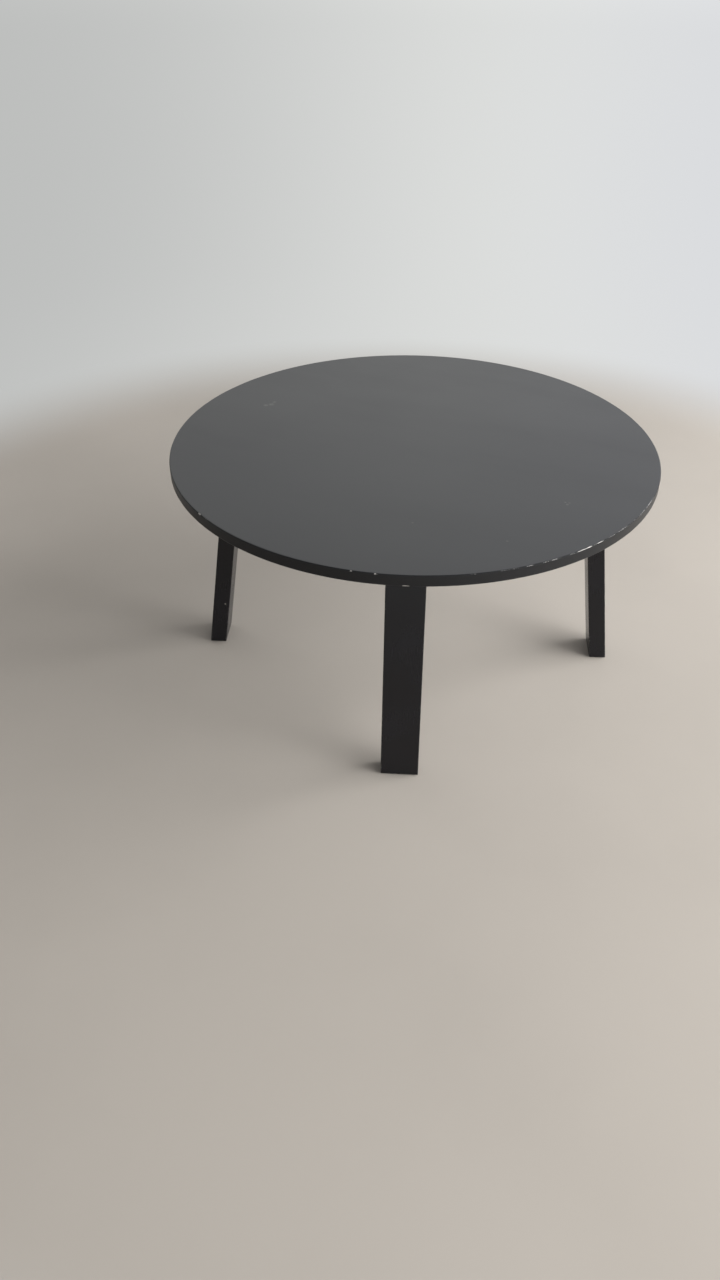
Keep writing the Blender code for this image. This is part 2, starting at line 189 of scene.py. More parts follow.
@dataclass
class Surface:
    """A grid of points that closes round its columns, with values that ride on the points.

    Rows run from the first end to the last one, and columns run counter-clockwise seen from the first end,
    so the faces point outwards. A capped end closes in a fan on the mean of its row. The trim rows, from the
    first up to the second, may take a finish of their own.
    """

    points: Array
    values: dict[str, Array] = field(default_factory=dict)
    ends: Ends = Ends.CAPPED
    trim_rows: tuple[int, int] = (0, 0)

    def moved(self, place: Matrix) -> "Surface":
        """The same surface carried by a matrix."""
        matrix = np.array(place)
        return replace(self, points=self.points @ matrix[:3, :3].T + matrix[:3, 3])

    def flat(self, grid: Array) -> Array:
        """Lists a grid in the order of the mesh's vertices.

        Args:
            grid: points or values by row and column.

        Returns:
            One row for each vertex, with those of the caps' middles last.
        """
        rows = grid.reshape(*grid.shape[:2], -1)
        listed = rows.reshape(-1, rows.shape[2])
        if self.ends is not Ends.CAPPED:
            return listed
        return np.concatenate([listed, rows[:1].mean(axis=1), rows[-1:].mean(axis=1)])

    def corners(self) -> tuple[Array, Array]:
        """Vertex numbers of the faces.

        Returns:
            The quads between neighbouring rows, and the triangles of the caps' fans.
        """
        rows, columns = self.points.shape[:2]
        number = np.arange(rows * columns).reshape(rows, columns)
        after = np.roll(number, -1, axis=1)
        quads = stacked(number, np.roll(number, -1, axis=0), np.roll(after, -1, axis=0), after)
        if self.ends is not Ends.JOINED:
            quads = quads[:-1]
        quads = quads.reshape(-1, 4)
        if self.ends is not Ends.CAPPED:
            return quads, np.zeros((0, 3), int)
        pole = rows * columns
        fans = [stacked(pole, number[0], after[0]), stacked(pole + 1, after[-1], number[-1])]
        return quads, np.concatenate(fans)

    def piece(self, name: str, finish: Finish, trim: Finish | None = None) -> bpy.types.Object:
        """Makes the surface an object at the origin, with its place in its mesh.

        Args:
            name: the piece's name.
            finish: the material on it.
            trim: the material on its trim rows, if it has any.

        Returns:
            The new object, linked to the scene and not yet riding on a body.
        """
        vertices = self.flat(self.points)
        quads, fans = self.corners()
        loops = np.concatenate([quads.ravel(), fans.ravel()])
        starts = np.concatenate([np.arange(len(quads)) * 4, quads.size + np.arange(len(fans)) * 3])
        mesh = bpy.data.meshes.new(name)
        mesh.vertices.add(len(vertices))
        mesh.vertices.foreach_set("co", vertices.ravel().astype(np.float32))
        mesh.loops.add(len(loops))
        mesh.loops.foreach_set("vertex_index", loops.astype(np.int32))
        mesh.polygons.add(len(starts))
        mesh.polygons.foreach_set("loop_start", starts.astype(np.int32))
        mesh.update(calc_edges=True)
        for key, grid in self.values.items():
            kind, store = ("FLOAT", "value") if grid.ndim == 2 else ("FLOAT_VECTOR", "vector")
            layer = mesh.attributes.new(key, kind, "POINT")
            layer.data.foreach_set(store, self.flat(grid).ravel().astype(np.float32))
        mesh.shade_smooth()
        mesh.set_sharp_from_angle(angle=SHARP_ANGLE)
        mesh.materials.append(finish)
        if trim is not None:
            mesh.materials.append(trim)
            row = np.arange(len(starts)) // self.points.shape[1]
            trimmed = (row >= self.trim_rows[0]) & (row < self.trim_rows[1])
            mesh.polygons.foreach_set("material_index", trimmed.astype(np.int32))
        made = bpy.data.objects.new(name, mesh)
        bpy.context.scene.collection.objects.link(made)
        return made

    def hand_over(self, name: str, finish: Finish, slot: str, node: str, trim: Finish | None = None) -> None:
        """Makes the surface a piece that rides on the table and stands for a CAD node.

        Args:
            name: the piece's name.
            finish: the material on it.
            slot: the record's material slot for its finish; not used.
            node: the CAD node that it replaces.
            trim: the material on its trim rows, if it has any.
        """
        piece = self.piece(name, finish, trim)
        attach(piece, BODY)
        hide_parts(node)
        log.info("%s: %d faces, for %s", name, len(piece.data.polygons), node)


class NodeGraph:
    """The nodes of a material or a world. Most methods add nodes and return the socket that they end on."""

    def __init__(self, name: str, world: bool = False) -> None:
        """Starts a material with its Principled shader, or a world with its background.

        Args:
            name: name of the material or world.
            world: whether it is a world.
        """
        self.owner = (bpy.data.worlds if world else bpy.data.materials).new(name)
        self.owner.use_nodes = True
        self.nodes = self.owner.node_tree.nodes
        self.links = self.owner.node_tree.links
        self.shader = self.nodes["Background" if world else "Principled BSDF"]

    def feed(self, entry: Socket, value: Feed) -> None:
        """Feeds a node's input.

        Args:
            entry: the input.
            value: a socket to link to it, or a constant to set it to.
        """
        if isinstance(value, Socket):
            self.links.new(value, entry)
        else:
            entry.default_value = value

    def node(self, kind: str, feeds: dict[str | int, Feed], **settings: str) -> bpy.types.Node:
        """Adds a node.

        Args:
            kind: the node's type, as Blender names it after the words ShaderNode.
            feeds: what goes into its inputs, by name or number.
            settings: its other properties.

        Returns:
            The node.
        """
        node = self.nodes.new(f"ShaderNode{kind}")
        for key, value in settings.items():
            setattr(node, key, value)
        for key, value in feeds.items():
            self.feed(node.inputs[key], value)
        return node

    def add(self, kind: str, feeds: dict[str | int, Feed], output: str | int = 0, **settings: str) -> Socket:
        """Adds a node and returns one of its outputs."""
        return self.node(kind, feeds, **settings).outputs[output]

    def place(self) -> Socket:
        """The point on the piece in the table's own frame."""
        return self.add("TexCoord", {}, "Object")

    def carried(self, name: str, output: str = "Fac") -> Socket:
        """A number that rides on the piece's mesh, or a vector where the output is Vector."""
        return self.add("Attribute", {}, output, attribute_name=name)

    def mapped(self, point: Socket, scale: Place, degrees: float = 0.0) -> Socket:
        """A point turned about Z and then stretched."""
        turned = self.add("Mapping", {"Vector": point, "Rotation": (0.0, 0.0, math.radians(degrees))})
        return self.add("Mapping", {"Vector": turned, "Scale": scale})

    def noise(self, point: Socket, scale: float, detail: float = 2.0, roughness: float = 0.5) -> Socket:
        """Smooth noise around 0.5 with so many blotches to the metre."""
        feeds = {"Vector": point, "Scale": scale, "Detail": detail, "Roughness": roughness}
        return self.add("TexNoise", feeds)

    def streaks(
        self, point: Socket, scale: Place, detail: float = 1.0, roughness: float = 0.5, degrees: float = 0.0,
    ) -> Socket:
        """Noise turned about Z, with so many blotches to the metre along each axis."""
        return self.noise(self.mapped(point, scale, degrees), 1.0, detail, roughness)

    def math(self, operation: str, first: Feed, second: Feed) -> Socket:
        """One step of arithmetic on two numbers."""
        return self.add("Math", {0: first, 1: second}, operation=operation)

    def times(self, first: Feed, second: Feed) -> Socket:
        """One number times another."""
        return self.math("MULTIPLY", first, second)

    def total(self, *terms: Socket | tuple[Socket, float]) -> Socket:
        """The sum of several numbers, each alone or with the weight that it counts with."""
        parts = [self.times(*term) if isinstance(term, tuple) else term for term in terms]
        return reduce(partial(self.math, "ADD"), parts)

    def step(self, value: Socket, low: float, high: float, start: float = 0.0, end: float = 1.0) -> Socket:
        """Carries a number smoothly from start to end as it passes from low to high."""
        feeds = {"Value": value, "From Min": low, "From Max": high, "To Min": start, "To Max": end}
        return self.add("MapRange", feeds, interpolation_type="SMOOTHSTEP")

    def blend(self, share: Socket, first: Socket | Colour, second: Socket | Colour) -> Socket:
        """A colour between two others."""
        ends = [value if isinstance(value, Socket) else (*value, 1.0) for value in (first, second)]
        return self.add("Mix", {0: share, 6: ends[0], 7: ends[1]}, 2, data_type="RGBA")

    def near(self, point: Socket, centre: Place, inner: float, outer: float) -> Socket:
        """1 within the inner distance of a centre, falling to 0 at the outer one."""
        gap = self.add("VectorMath", {0: point, 1: centre}, "Value", operation="DISTANCE")
        return self.step(gap, inner, outer, 1.0, 0.0)

    def spots(self, point: Socket, marks: list[tuple[Place, float]]) -> Socket:
        """Soft round spots, each with its centre and its radius."""
        return self.total(*(self.near(point, centre, 0.2 * radius, radius) for centre, radius in marks))

    def hairlines(self, point: Socket, degrees: float, length: float, width: float, rare: float) -> Socket:
        """Fine straight scratches: noise stretched along one direction, cut off where it is rare.

        Args:
            point: the point on the piece.
            degrees: how far the direction is turned about Z.
            length: length of a scratch.
            width: width of a scratch.
            rare: the noise above which a scratch shows.

        Returns:
            1 on a scratch and 0 beside it.
        """
        lines = self.streaks(point, (1.0 / length, 1.0 / width, 1.0 / width), degrees=degrees)
        patches = self.noise(point, 9.0 + degrees * 0.01)
        return self.times(self.step(lines, rare, rare + 0.07), self.step(patches, 0.50, 0.66))

    def specks(self, point: Socket, scale: float, size: float, rare: float) -> Socket:
        """Small round specks in a share of the cells of a Voronoi pattern.

        Args:
            point: the point on the piece.
            scale: cells to the metre.
            size: a speck's radius as a share of a cell.
            rare: share of the cells that have none.

        Returns:
            1 in a speck and 0 beside it.
        """
        cells = self.node("TexVoronoi", {"Vector": point, "Scale": scale}).outputs
        dot = self.step(cells["Distance"], size * 0.4, size, 1.0, 0.0)
        return self.times(dot, self.step(cells["Color"], rare, rare + 0.01))

    def bump(self, height: Socket, depth: float) -> None:
        """Raises the surface by a height between 0 and 1 times a depth."""
        normal = self.add("Bump", {"Height": height, "Distance": depth, "Strength": 1.0})
        self.feed(self.shader.inputs["Normal"], normal)

    def finished(self, colour: Socket, roughness: Socket, **constants: float) -> Finish:
        """Wires the shader.

        Args:
            colour: what goes into its base colour.
            roughness: what goes into its roughness.
            constants: numbers for its other sockets, with underscores for the spaces in their names.

        Returns:
            The material.
        """
        self.feed(self.shader.inputs["Base Color"], colour)
        self.feed(self.shader.inputs["Roughness"], roughness)
        for key, value in constants.items():
            self.shader.inputs[key.replace("_", " ")].default_value = value
        return self.owner


@dataclass(frozen=True)
class BoardLacquer:
    """Sprayed satin lacquer on the board: faint haze, hairlines and dust, and edges worn to the primer. The
    rubbed upper edge on the front right is also a painted highlight.

    A hairline's row gives its direction in degrees, its length, its width and how rare it is. A scuff's row
    gives its place on the top and its radius.
    """

    name: str
    # The face's copy has a lighter film and haze, partly dust and partly painted light. The rim's copy is
    # darker, which is painted shade.
    film: Colour
    haze: Colour
    gloss: float
    specular: float
    dust: Colour = (0.24, 0.23, 0.21)
    primer: Colour = (0.26, 0.255, 0.248)
    board: Colour = (0.46, 0.445, 0.42)
    relief: float = 0.00004
    level: float = 0.400
    hairlines: tuple[tuple[float, float, float, float], ...] = (
        (18.0, 0.060, 0.0008, 0.71), (74.0, 0.045, 0.0007, 0.72), (141.0, 0.080, 0.0009, 0.72),
    )
    scuffs: tuple[tuple[float, float, float], ...] = (
        (-0.2660, 0.1413, 0.0060), (-0.2565, 0.1455, 0.0070), (-0.2524, 0.1560, 0.0045),
        (0.2363, -0.1850, 0.0030), (0.2335, -0.1785, 0.0026), (0.2398, -0.1800, 0.0024),
        (0.0056, -0.2564, 0.0022), (0.1416, -0.2989, 0.0024),
    )

    def material(self) -> Finish:
        """Builds the material: film, haze and scratches by place, wear and a painted edge highlight by the
        rub_and_highlight value, and chips by the chip value.

        Returns:
            The material.
        """
        graph = NodeGraph(self.name)
        point = graph.place()
        clouds = graph.noise(point, 3.1, 4.0, 0.55)
        wipes = graph.streaks(point, (3.2, 14.4, 6.4), 4.0, 0.6, 24.0)
        scratches = graph.total(*(graph.hairlines(point, *line) for line in self.hairlines))
        grains = graph.specks(point, 330.0, 0.16, 0.955)
        scuffs = graph.spots(point, [((x, y, self.level), radius) for x, y, radius in self.scuffs])
        scuffs = graph.times(scuffs, graph.step(graph.noise(point, 420.0, 3.0), 0.40, 0.62, 0.35, 1.0))
        marks = graph.total((scratches, 0.10), (grains, 0.30), (scuffs, 0.42))
        rub_and_highlight, chip = graph.carried("rub_and_highlight"), graph.carried("chip")
        # The rubbed primer on the upper edge is real wear. On the front right it is also a painted highlight
        # of the eased edge.
        broken = graph.step(graph.noise(point, 520.0, 4.0, 0.65), 0.40, 0.56)
        worn = graph.step(graph.total((broken, 0.55), rub_and_highlight), 0.62, 1.05)
        worn = graph.times(worn, graph.step(rub_and_highlight, 0.02, 0.25))
        colour = graph.blend(graph.step(clouds, 0.36, 0.72), self.film, self.haze)
        for share, bare in ((marks, self.dust), (worn, self.primer), (chip, self.board)):
            colour = graph.blend(share, colour, bare)
        roughness = graph.total(
            graph.step(clouds, 0.30, 0.75, self.gloss - 0.03, self.gloss + 0.04),
            graph.step(wipes, 0.40, 0.75, -0.008, 0.018), (scratches, 0.08), (worn, 0.06), (chip, 0.15),
        )
        peel, waves = graph.noise(point, 620.0, 1.0), graph.noise(point, 38.0)
        pits = graph.times(chip, broken)
        graph.bump(graph.total((peel, 0.30), (waves, 1.2), (scratches, -0.25), (pits, -3.0)), self.relief)
        return graph.finished(colour, roughness, IOR=1.5, Specular_IOR_Level=self.specular)


@dataclass(frozen=True)
class Knock:
    """A small bare spot on a leg, at a place in the leg's own arm, with a radius."""

    side: Side
    place: Place
    radius: float

    def centre(self) -> Place:
        """The spot's place in the table's frame."""
        return tuple(self.side.turn @ Vector(self.place))


@dataclass(frozen=True)
class PlankLacquer:
    """Satin lacquer on a solid plank: long grain just telegraphing, arrises rubbed, a few knocks."""

    film: Colour = (0.0019, 0.0020, 0.0040)
    rubbed: Colour = (0.16, 0.15, 0.14)
    knocked: Colour = (0.24, 0.23, 0.21)
    gloss: float = 0.26
    specular: float = 0.45
    relief: float = 0.000006
    knocks: tuple[Knock, ...] = (
        Knock(Side.LEFT, (0.3321, 0.0300, 0.0861), 0.0026),
        Knock(Side.FRONT, (0.3640, -0.0292, 0.0120), 0.0020),
        Knock(Side.RIGHT, (0.3655, -0.0290, 0.0065), 0.0020),
        Knock(Side.BACK, (0.3590, 0.0292, 0.0480), 0.0018),
        Knock(Side.LEFT, (0.3652, -0.0050, 0.0045), 0.0018),
        Knock(Side.BACK, (0.3500, 0.0294, 0.1130), 0.0014),
    )

    def material(self, grain: str) -> Finish:
        """Builds the material.

        Args:
            grain: the mesh vector that runs along, across and into the plank, in metres.

        Returns:
            The material, which also reads the mesh's edge value.
        """
        graph = NodeGraph("leg_lacquer_worn")
        point, fibre = graph.place(), graph.carried(grain, "Vector")
        clouds = graph.noise(fibre, 9.0, 3.0, 0.55)
        long_grain = graph.streaks(fibre, (7.0, 260.0, 260.0), 3.0, 0.6)
        pits = graph.step(graph.streaks(fibre, (70.0, 1500.0, 1500.0)), 0.64, 0.74)
        peel = graph.noise(fibre, 640.0, 1.0)
        edge = graph.carried("edge")
        flakes = graph.total(graph.noise(fibre, 420.0, 4.0, 0.65), (edge, 0.175))
        worn = graph.times(graph.step(flakes, 0.71, 0.76), graph.step(edge, 0.05, 0.30))
        spots = graph.spots(point, [(knock.centre(), knock.radius) for knock in self.knocks])
        ragged = graph.step(graph.noise(point, 900.0, 3.0), 0.35, 0.65, 0.3, 1.0)
        bare = graph.step(graph.times(spots, ragged), 0.15, 0.55)
        colour = graph.blend(graph.step(clouds, 0.35, 0.75), self.film, scaled(self.film, 1.6))
        colour = graph.blend(graph.times(worn, 0.60), colour, self.rubbed)
        colour = graph.blend(bare, colour, self.knocked)
        roughness = graph.total(
            graph.step(clouds, 0.30, 0.75, self.gloss - 0.03, self.gloss + 0.04),
            graph.step(long_grain, 0.35, 0.70, -0.012, 0.018), (worn, 0.10), (bare, 0.2),
        )
        graph.bump(graph.total((long_grain, 0.6), (pits, -0.35), (peel, 0.20), (bare, -10.0)), self.relief)
        return graph.finished(colour, roughness, IOR=1.5, Specular_IOR_Level=self.specular)


@dataclass(frozen=True)
class RailLacquer:
    """A thin matt coat on the rails, with grain along one axis and sawn marks left in it."""

    film: Colour = (0.014, 0.0138, 0.0136)
    thin: Colour = (0.034, 0.030, 0.026)
    gloss: float = 0.55
    relief: float = 0.00008

    def material(self, name: str, degrees: float) -> Finish:
        """Builds the material.

        Args:
            name: the material's name.
            degrees: the grain's angle about +Z from +X.

        Returns:
            The material.
        """
        graph = NodeGraph(name)
        fibre = graph.mapped(graph.place(), (1.0, 1.0, 1.0), -degrees)
        clouds = graph.noise(fibre, 11.0, 4.0, 0.6)
        long_grain = graph.streaks(fibre, (6.0, 300.0, 300.0), 3.0, 0.6)
        saw = graph.streaks(fibre, (900.0, 20.0, 20.0))
        share = graph.times(graph.step(clouds, 0.42, 0.72), graph.step(long_grain, 0.35, 0.7))
        roughness = graph.total(
            graph.step(clouds, 0.3, 0.7, self.gloss - 0.04, self.gloss + 0.06),
            graph.step(long_grain, 0.35, 0.7, -0.03, 0.04),
        )
        graph.bump(graph.total(long_grain, (saw, 0.25)), self.relief)
        return graph.finished(graph.blend(share, self.film, self.thin), roughness, IOR=1.5)


@dataclass(frozen=True)
class PlatedSteel:
    """A plated screw or nut: a metal skin with passivated tints, rubbed where it was driven."""

    name: str
    plate: Colour
    tint: Colour
    gloss: float
    relief: float = 0.000012

    def material(self) -> Finish:
        """Builds the material from clouds of tint and fine turning marks.

        Returns:
            The material.
        """
        graph = NodeGraph(self.name)
        point = graph.place()
        clouds = graph.noise(point, 180.0, 3.0, 0.6)
        fine = graph.noise(point, 1900.0)
        colour = graph.blend(graph.step(clouds, 0.38, 0.68), self.plate, self.tint)
        roughness = graph.total(
            graph.step(clouds, 0.3, 0.7, self.gloss - 0.06, self.gloss + 0.08),
            graph.step(fine, 0.35, 0.7, -0.03, 0.06),
        )
        graph.bump(fine, self.relief)
        return graph.finished(colour, roughness, Metallic=1.0)


@dataclass(frozen=True)
class MouldedNylon:
    """Black moulded glides, spark-eroded on the side and scuffed pale where they slide."""

    skin: Colour = (0.018, 0.018, 0.018)
    scuffed: Colour = (0.11, 0.108, 0.105)
    gloss: float = 0.52
    tread: tuple[float, float] = (0.0002, 0.0005)
    relief: float = 0.00003

    def material(self) -> Finish:
        """Builds the material, scuffed below the tread's heights.

        Returns:
            The material.
        """
        graph = NodeGraph("moulded_nylon")
        point = graph.place()
        height = graph.add("SeparateXYZ", {0: point}, "Z")
        scrapes = graph.streaks(point, (60.0, 1100.0, 400.0), 3.0, degrees=35.0)
        share = graph.times(graph.step(height, *self.tread, 1.0, 0.0), graph.step(scrapes, 0.45, 0.68))
        erosion = graph.noise(point, 2600.0)
        clouds = graph.noise(point, 60.0, 3.0)
        skin = graph.blend(graph.step(clouds, 0.35, 0.7), self.skin, scaled(self.skin, 1.5))
        roughness = graph.total(
            graph.step(erosion, 0.3, 0.7, self.gloss - 0.05, self.gloss + 0.06), (share, 0.15),
        )
        graph.bump(erosion, self.relief)
        return graph.finished(graph.blend(share, skin, self.scuffed), roughness, IOR=1.53)


@dataclass(frozen=True)
class BareBeech:
    """Fluted dowels of bare beech: pale brown with the short dark flecks of its rays."""

    wood: Colour = (0.52, 0.35, 0.19)
    fleck: Colour = (0.33, 0.19, 0.09)
    gloss: float = 0.6
    relief: float = 0.00005

    def material(self, grain: str) -> Finish:
        """Builds the material.

        Args:
            grain: the mesh vector whose first part runs along the dowel, in metres.

        Returns:
            The material.
        """
        graph = NodeGraph("bare_beech")
        fibre = graph.carried(grain, "Vector")
        streaks = graph.streaks(fibre, (60.0, 900.0, 900.0), 3.0, 0.6)
        flecks = graph.step(graph.streaks(fibre, (420.0, 2600.0, 2600.0)), 0.62, 0.72)
        share = graph.math("MAXIMUM", graph.step(streaks, 0.42, 0.8), graph.times(flecks, 0.8))
        roughness = graph.step(streaks, 0.3, 0.7, self.gloss - 0.05, self.gloss + 0.08)
        graph.bump(graph.total(streaks, (flecks, -0.5)), self.relief)
        return graph.finished(graph.blend(share, self.wood, self.fleck), roughness, IOR=1.5)


@dataclass(frozen=True)
class Chip:
    """A flake knocked off an edge of the board.

    bearing is in degrees about +Z from +X, half_length runs along the edge, and depth is measured along
    lean, the direction in degrees above level that the flake faced. Below 0 it is on the lower edge.
    """

    bearing: float
    half_length: float
    depth: float
    lean: float = 45.0


@dataclass(frozen=True)
class Rub:
    """A stretch of the upper edge between two bearings in degrees, worn by this much at its middle. On the
    front right this wear is also a painted highlight of the edge.
    """

    start: float
    end: float
    wear: float


@dataclass
class RoundTop:
    """The round board: a surface of revolution with eased edges, chipped and rubbed along its rim. The
    rubbed edge on the front right is also a painted highlight.

    face_rows are distances from the axis, face_edge and support distances from the start of a round. A chip
    grows bare from the first to the second depth of bare_cut. upper_worn and lower_worn are the shares of an
    edge's radius from which it is worn. plain_wear is there all round, and the wavers make wear uneven.
    """

    edge_radius: float = 0.002
    columns: int = 720
    arc_rows: int = 13
    rim_rows: int = 3
    chip_columns: int = 48
    chip_margin: float = 1.25
    chip_waver: float = 0.22
    bare_cut: tuple[float, float] = (0.00001, 0.00008)
    upper_worn: float = 0.91
    lower_worn: float = 0.86
    plain_wear: float = 0.10
    plain_waver: float = 0.05
    lower_waver: float = 0.14
    rub_and_highlight_power: float = 0.6
    rub_and_highlight_waver: float = 0.14
    rim_turn: float = math.radians(66.0)
    face_rows: tuple[float, ...] = (0.02, 0.08, 0.16, 0.24, 0.30, 0.34, 0.37)
    face_edge: tuple[float, ...] = (0.014, 0.006)
    support: tuple[float, ...] = (0.0003, 0.0006, 0.0009, 0.0013, 0.0018, 0.0025)
    chips: tuple[Chip, ...] = (
        Chip(-52.4, 0.0085, 0.00009), Chip(-50.1, 0.0060, 0.00017), Chip(-46.8, 0.0066, 0.00008),
        Chip(-95.9, 0.0015, 0.00020), Chip(-100.7, 0.0014, 0.00017), Chip(-140.8, 0.0034, 0.00046),
        Chip(-89.85, 0.0050, 0.00036, -30.0), Chip(62.0, 0.0015, 0.00018), Chip(139.0, 0.0021, 0.00026),
        Chip(171.0, 0.0014, 0.00020, -45.0), Chip(18.0, 0.0019, 0.00022, -45.0),
    )
    # From about -45 to -22 degrees, these stretches are partly real wear and partly a painted highlight of
    # the eased upper edge.
    rubs: tuple[Rub, ...] = (
        Rub(-77.5, -75.9, 0.50), Rub(-71.9, -68.8, 0.40), Rub(-68.8, -67.2, 0.62), Rub(-65.9, -63.5, 0.60),
        Rub(-62.4, -59.9, 0.68), Rub(-60.2, -57.4, 0.74), Rub(-55.4, -53.8, 0.55), Rub(-54.0, -49.0, 1.00),
        Rub(-48.9, -45.4, 0.82), Rub(-44.4, -41.3, 0.50), Rub(-41.4, -36.9, 0.68), Rub(-36.8, -32.0, 0.40),
        Rub(-32.2, -28.3, 0.62), Rub(-28.7, -22.0, 0.58), Rub(-96.7, -95.0, 0.30), Rub(-139.8, -136.6, 0.36),
        Rub(-152.5, -148.5, 0.30), Rub(-166.0, -163.0, 0.28), Rub(22.0, 27.0, 0.40), Rub(41.0, 45.0, 0.45),
        Rub(58.0, 66.0, 0.60), Rub(84.0, 88.0, 0.35), Rub(117.0, 123.0, 0.45), Rub(135.0, 143.0, 0.70),
        Rub(160.0, 164.0, 0.45),
    )

    def __post_init__(self) -> None:
        """Takes the radius and the two levels from the CAD board."""
        low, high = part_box("tabletop")
        self.radius, self.low, self.high = (high.x - low.x) / 2, low.z, high.z

    def bearings(self) -> Array:
        """Bearings of the columns in radians: even ones, with closer ones across each chip.

        Returns:
            The bearings in rising order, each once.
        """
        even = np.linspace(-math.pi, math.pi, self.columns, endpoint=False)
        spread = np.linspace(-self.chip_margin, self.chip_margin, self.chip_columns)
        close = [math.radians(chip.bearing) + spread * chip.half_length / self.radius for chip in self.chips]
        return np.unique(np.round(np.concatenate([even, *close]), 7))

    def profile(self) -> tuple[Array, Array]:
        """The board's half section, from the middle of the top round the edge to the middle underneath.

        Returns:
            Core points (distance from the axis, height), and the normals' angles above level. The section
            is the core plus the edge radius along the normal.
        """
        inner = self.radius - self.edge_radius
        upper, lower = self.high - self.edge_radius, self.low + self.edge_radius
        face = np.concatenate([self.face_rows, inner - np.array((*self.face_edge, *self.support[::-1]))])
        arc = np.linspace(QUARTER, 0.0, self.arc_rows)
        rim = upper - eased_steps(upper - lower, self.support, self.rim_rows)
        rows = np.concatenate([
            stacked(face, upper, QUARTER), stacked(inner, upper, arc), stacked(inner, rim, 0.0),
            stacked(inner, lower, -arc[::-1]), stacked(face[::-1], lower, -QUARTER),
        ])
        return rows[:, :2], rows[:, 2]

    def reach(self, section: Array, lean: float) -> tuple[Array, Array]:
        """How far points lie out from the centre of an edge's round along a direction.

        Args:
            section: points as (distance from the axis, height), in any grid.
            lean: the direction in degrees above level, below 0 for the lower edge.

        Returns:
            The reach, equal to the edge radius where the direction leaves the round, and the direction.
        """
        level = self.high - self.edge_radius if lean > 0.0 else self.low + self.edge_radius
        direction = np.array([math.cos(math.radians(lean)), math.sin(math.radians(lean))])
        return (section - (self.radius - self.edge_radius, level)) @ direction, direction

    def chipped(self, section: Array, bearing: Array) -> tuple[Array, Array]:
        """Planes the chips off the edges.

        A chip limits the reach along its lean to the edge radius less its depth times sqrt(1 - s^2), where s
        runs from -1 to 1 along it. What lies further out is pushed back.

        Args:
            section: points as (distance from the axis, height), by row and column.
            bearing: bearings of the columns in radians.

        Returns:
            The chipped points, and how much of a chip's bare floor each point is on.
        """
        bare = np.zeros(section.shape[:2])
        for number, chip in enumerate(self.chips):
            gap = (bearing - math.radians(chip.bearing) + math.pi) % ROUND - math.pi
            along = gap * self.radius / chip.half_length
            uneven = 1.0 + self.chip_waver * ripple(along * 4.0, number * 1.3)
            depth = chip.depth * np.sqrt(np.clip(1.0 - along * along, 0.0, 1.0)) * uneven
            reach, direction = self.reach(section, chip.lean)
            cut = np.maximum(reach - (self.edge_radius - depth), 0.0) * (depth > 0.0)
            section = section - cut[..., None] * direction
            bare = np.maximum(bare, smooth_step(cut, *self.bare_cut))
        return section, bare

    def wear(self, bearing: Array) -> Array:
        """Wear along the upper edge, which on the front right is also a painted highlight: the most that any
        stretch in rubs gives, and a little everywhere.

        Each stretch in rubs gives its wear times a half sine between its bearings, flattened by rub_power.

        Args:
            bearing: bearings of the columns in radians.

        Returns:
            The wear of each column, from 0 to 1.
        """
        degrees = np.degrees(bearing)
        worn = self.plain_wear + self.plain_waver * ripple(degrees * 0.7, 1.1)
        for rub_and_highlight in self.rubs:
            share = np.clip((degrees - rub_and_highlight.start) / (rub_and_highlight.end - rub_and_highlight.start), 0.0, 1.0)
            worn = np.maximum(worn, rub_and_highlight.wear * np.sin(math.pi * share) ** self.rub_and_highlight_power)
        return worn * (1.0 - self.rub_and_highlight_waver + self.rub_and_highlight_waver * ripple(degrees * 1.9, 0.4))

    def surface(self) -> Surface:
        """Turns the section about the axis and chips it.

        Returns:
            The board's surface, with its rub_and_highlight and chip values and the rim as its trim.
        """
        bearing = self.bearings()
        core, turn = self.profile()
        section = np.repeat(rounded(core, turn, self.edge_radius)[:, None], len(bearing), axis=1)
        full = self.edge_radius
        on_upper = smooth_step(self.reach(section, 45.0)[0], full * self.upper_worn, full)
        on_lower = smooth_step(self.reach(section, -45.0)[0], full * self.lower_worn, full)
        lower_wear = self.plain_wear + self.lower_waver * ripple(bearing * 9.0, 2.1)
        rub_and_highlight = on_upper * self.wear(bearing) + on_lower * lower_wear
        section, bare = self.chipped(section, bearing)
        points = revolved(section[..., 0], section[..., 1], bearing)
        rim = np.flatnonzero(np.abs(turn) < self.rim_turn)
        return Surface(points, {"rub_and_highlight": rub_and_highlight, "chip": bare}, trim_rows=(rim[0], rim[-1]))

    def dress(self, face: Finish, rim: Finish) -> None:
        """Makes the board's piece, with a finish on its two faces and one round its rim."""
        self.surface().hand_over("round_top", face, "top_lacquer", "tabletop", rim)


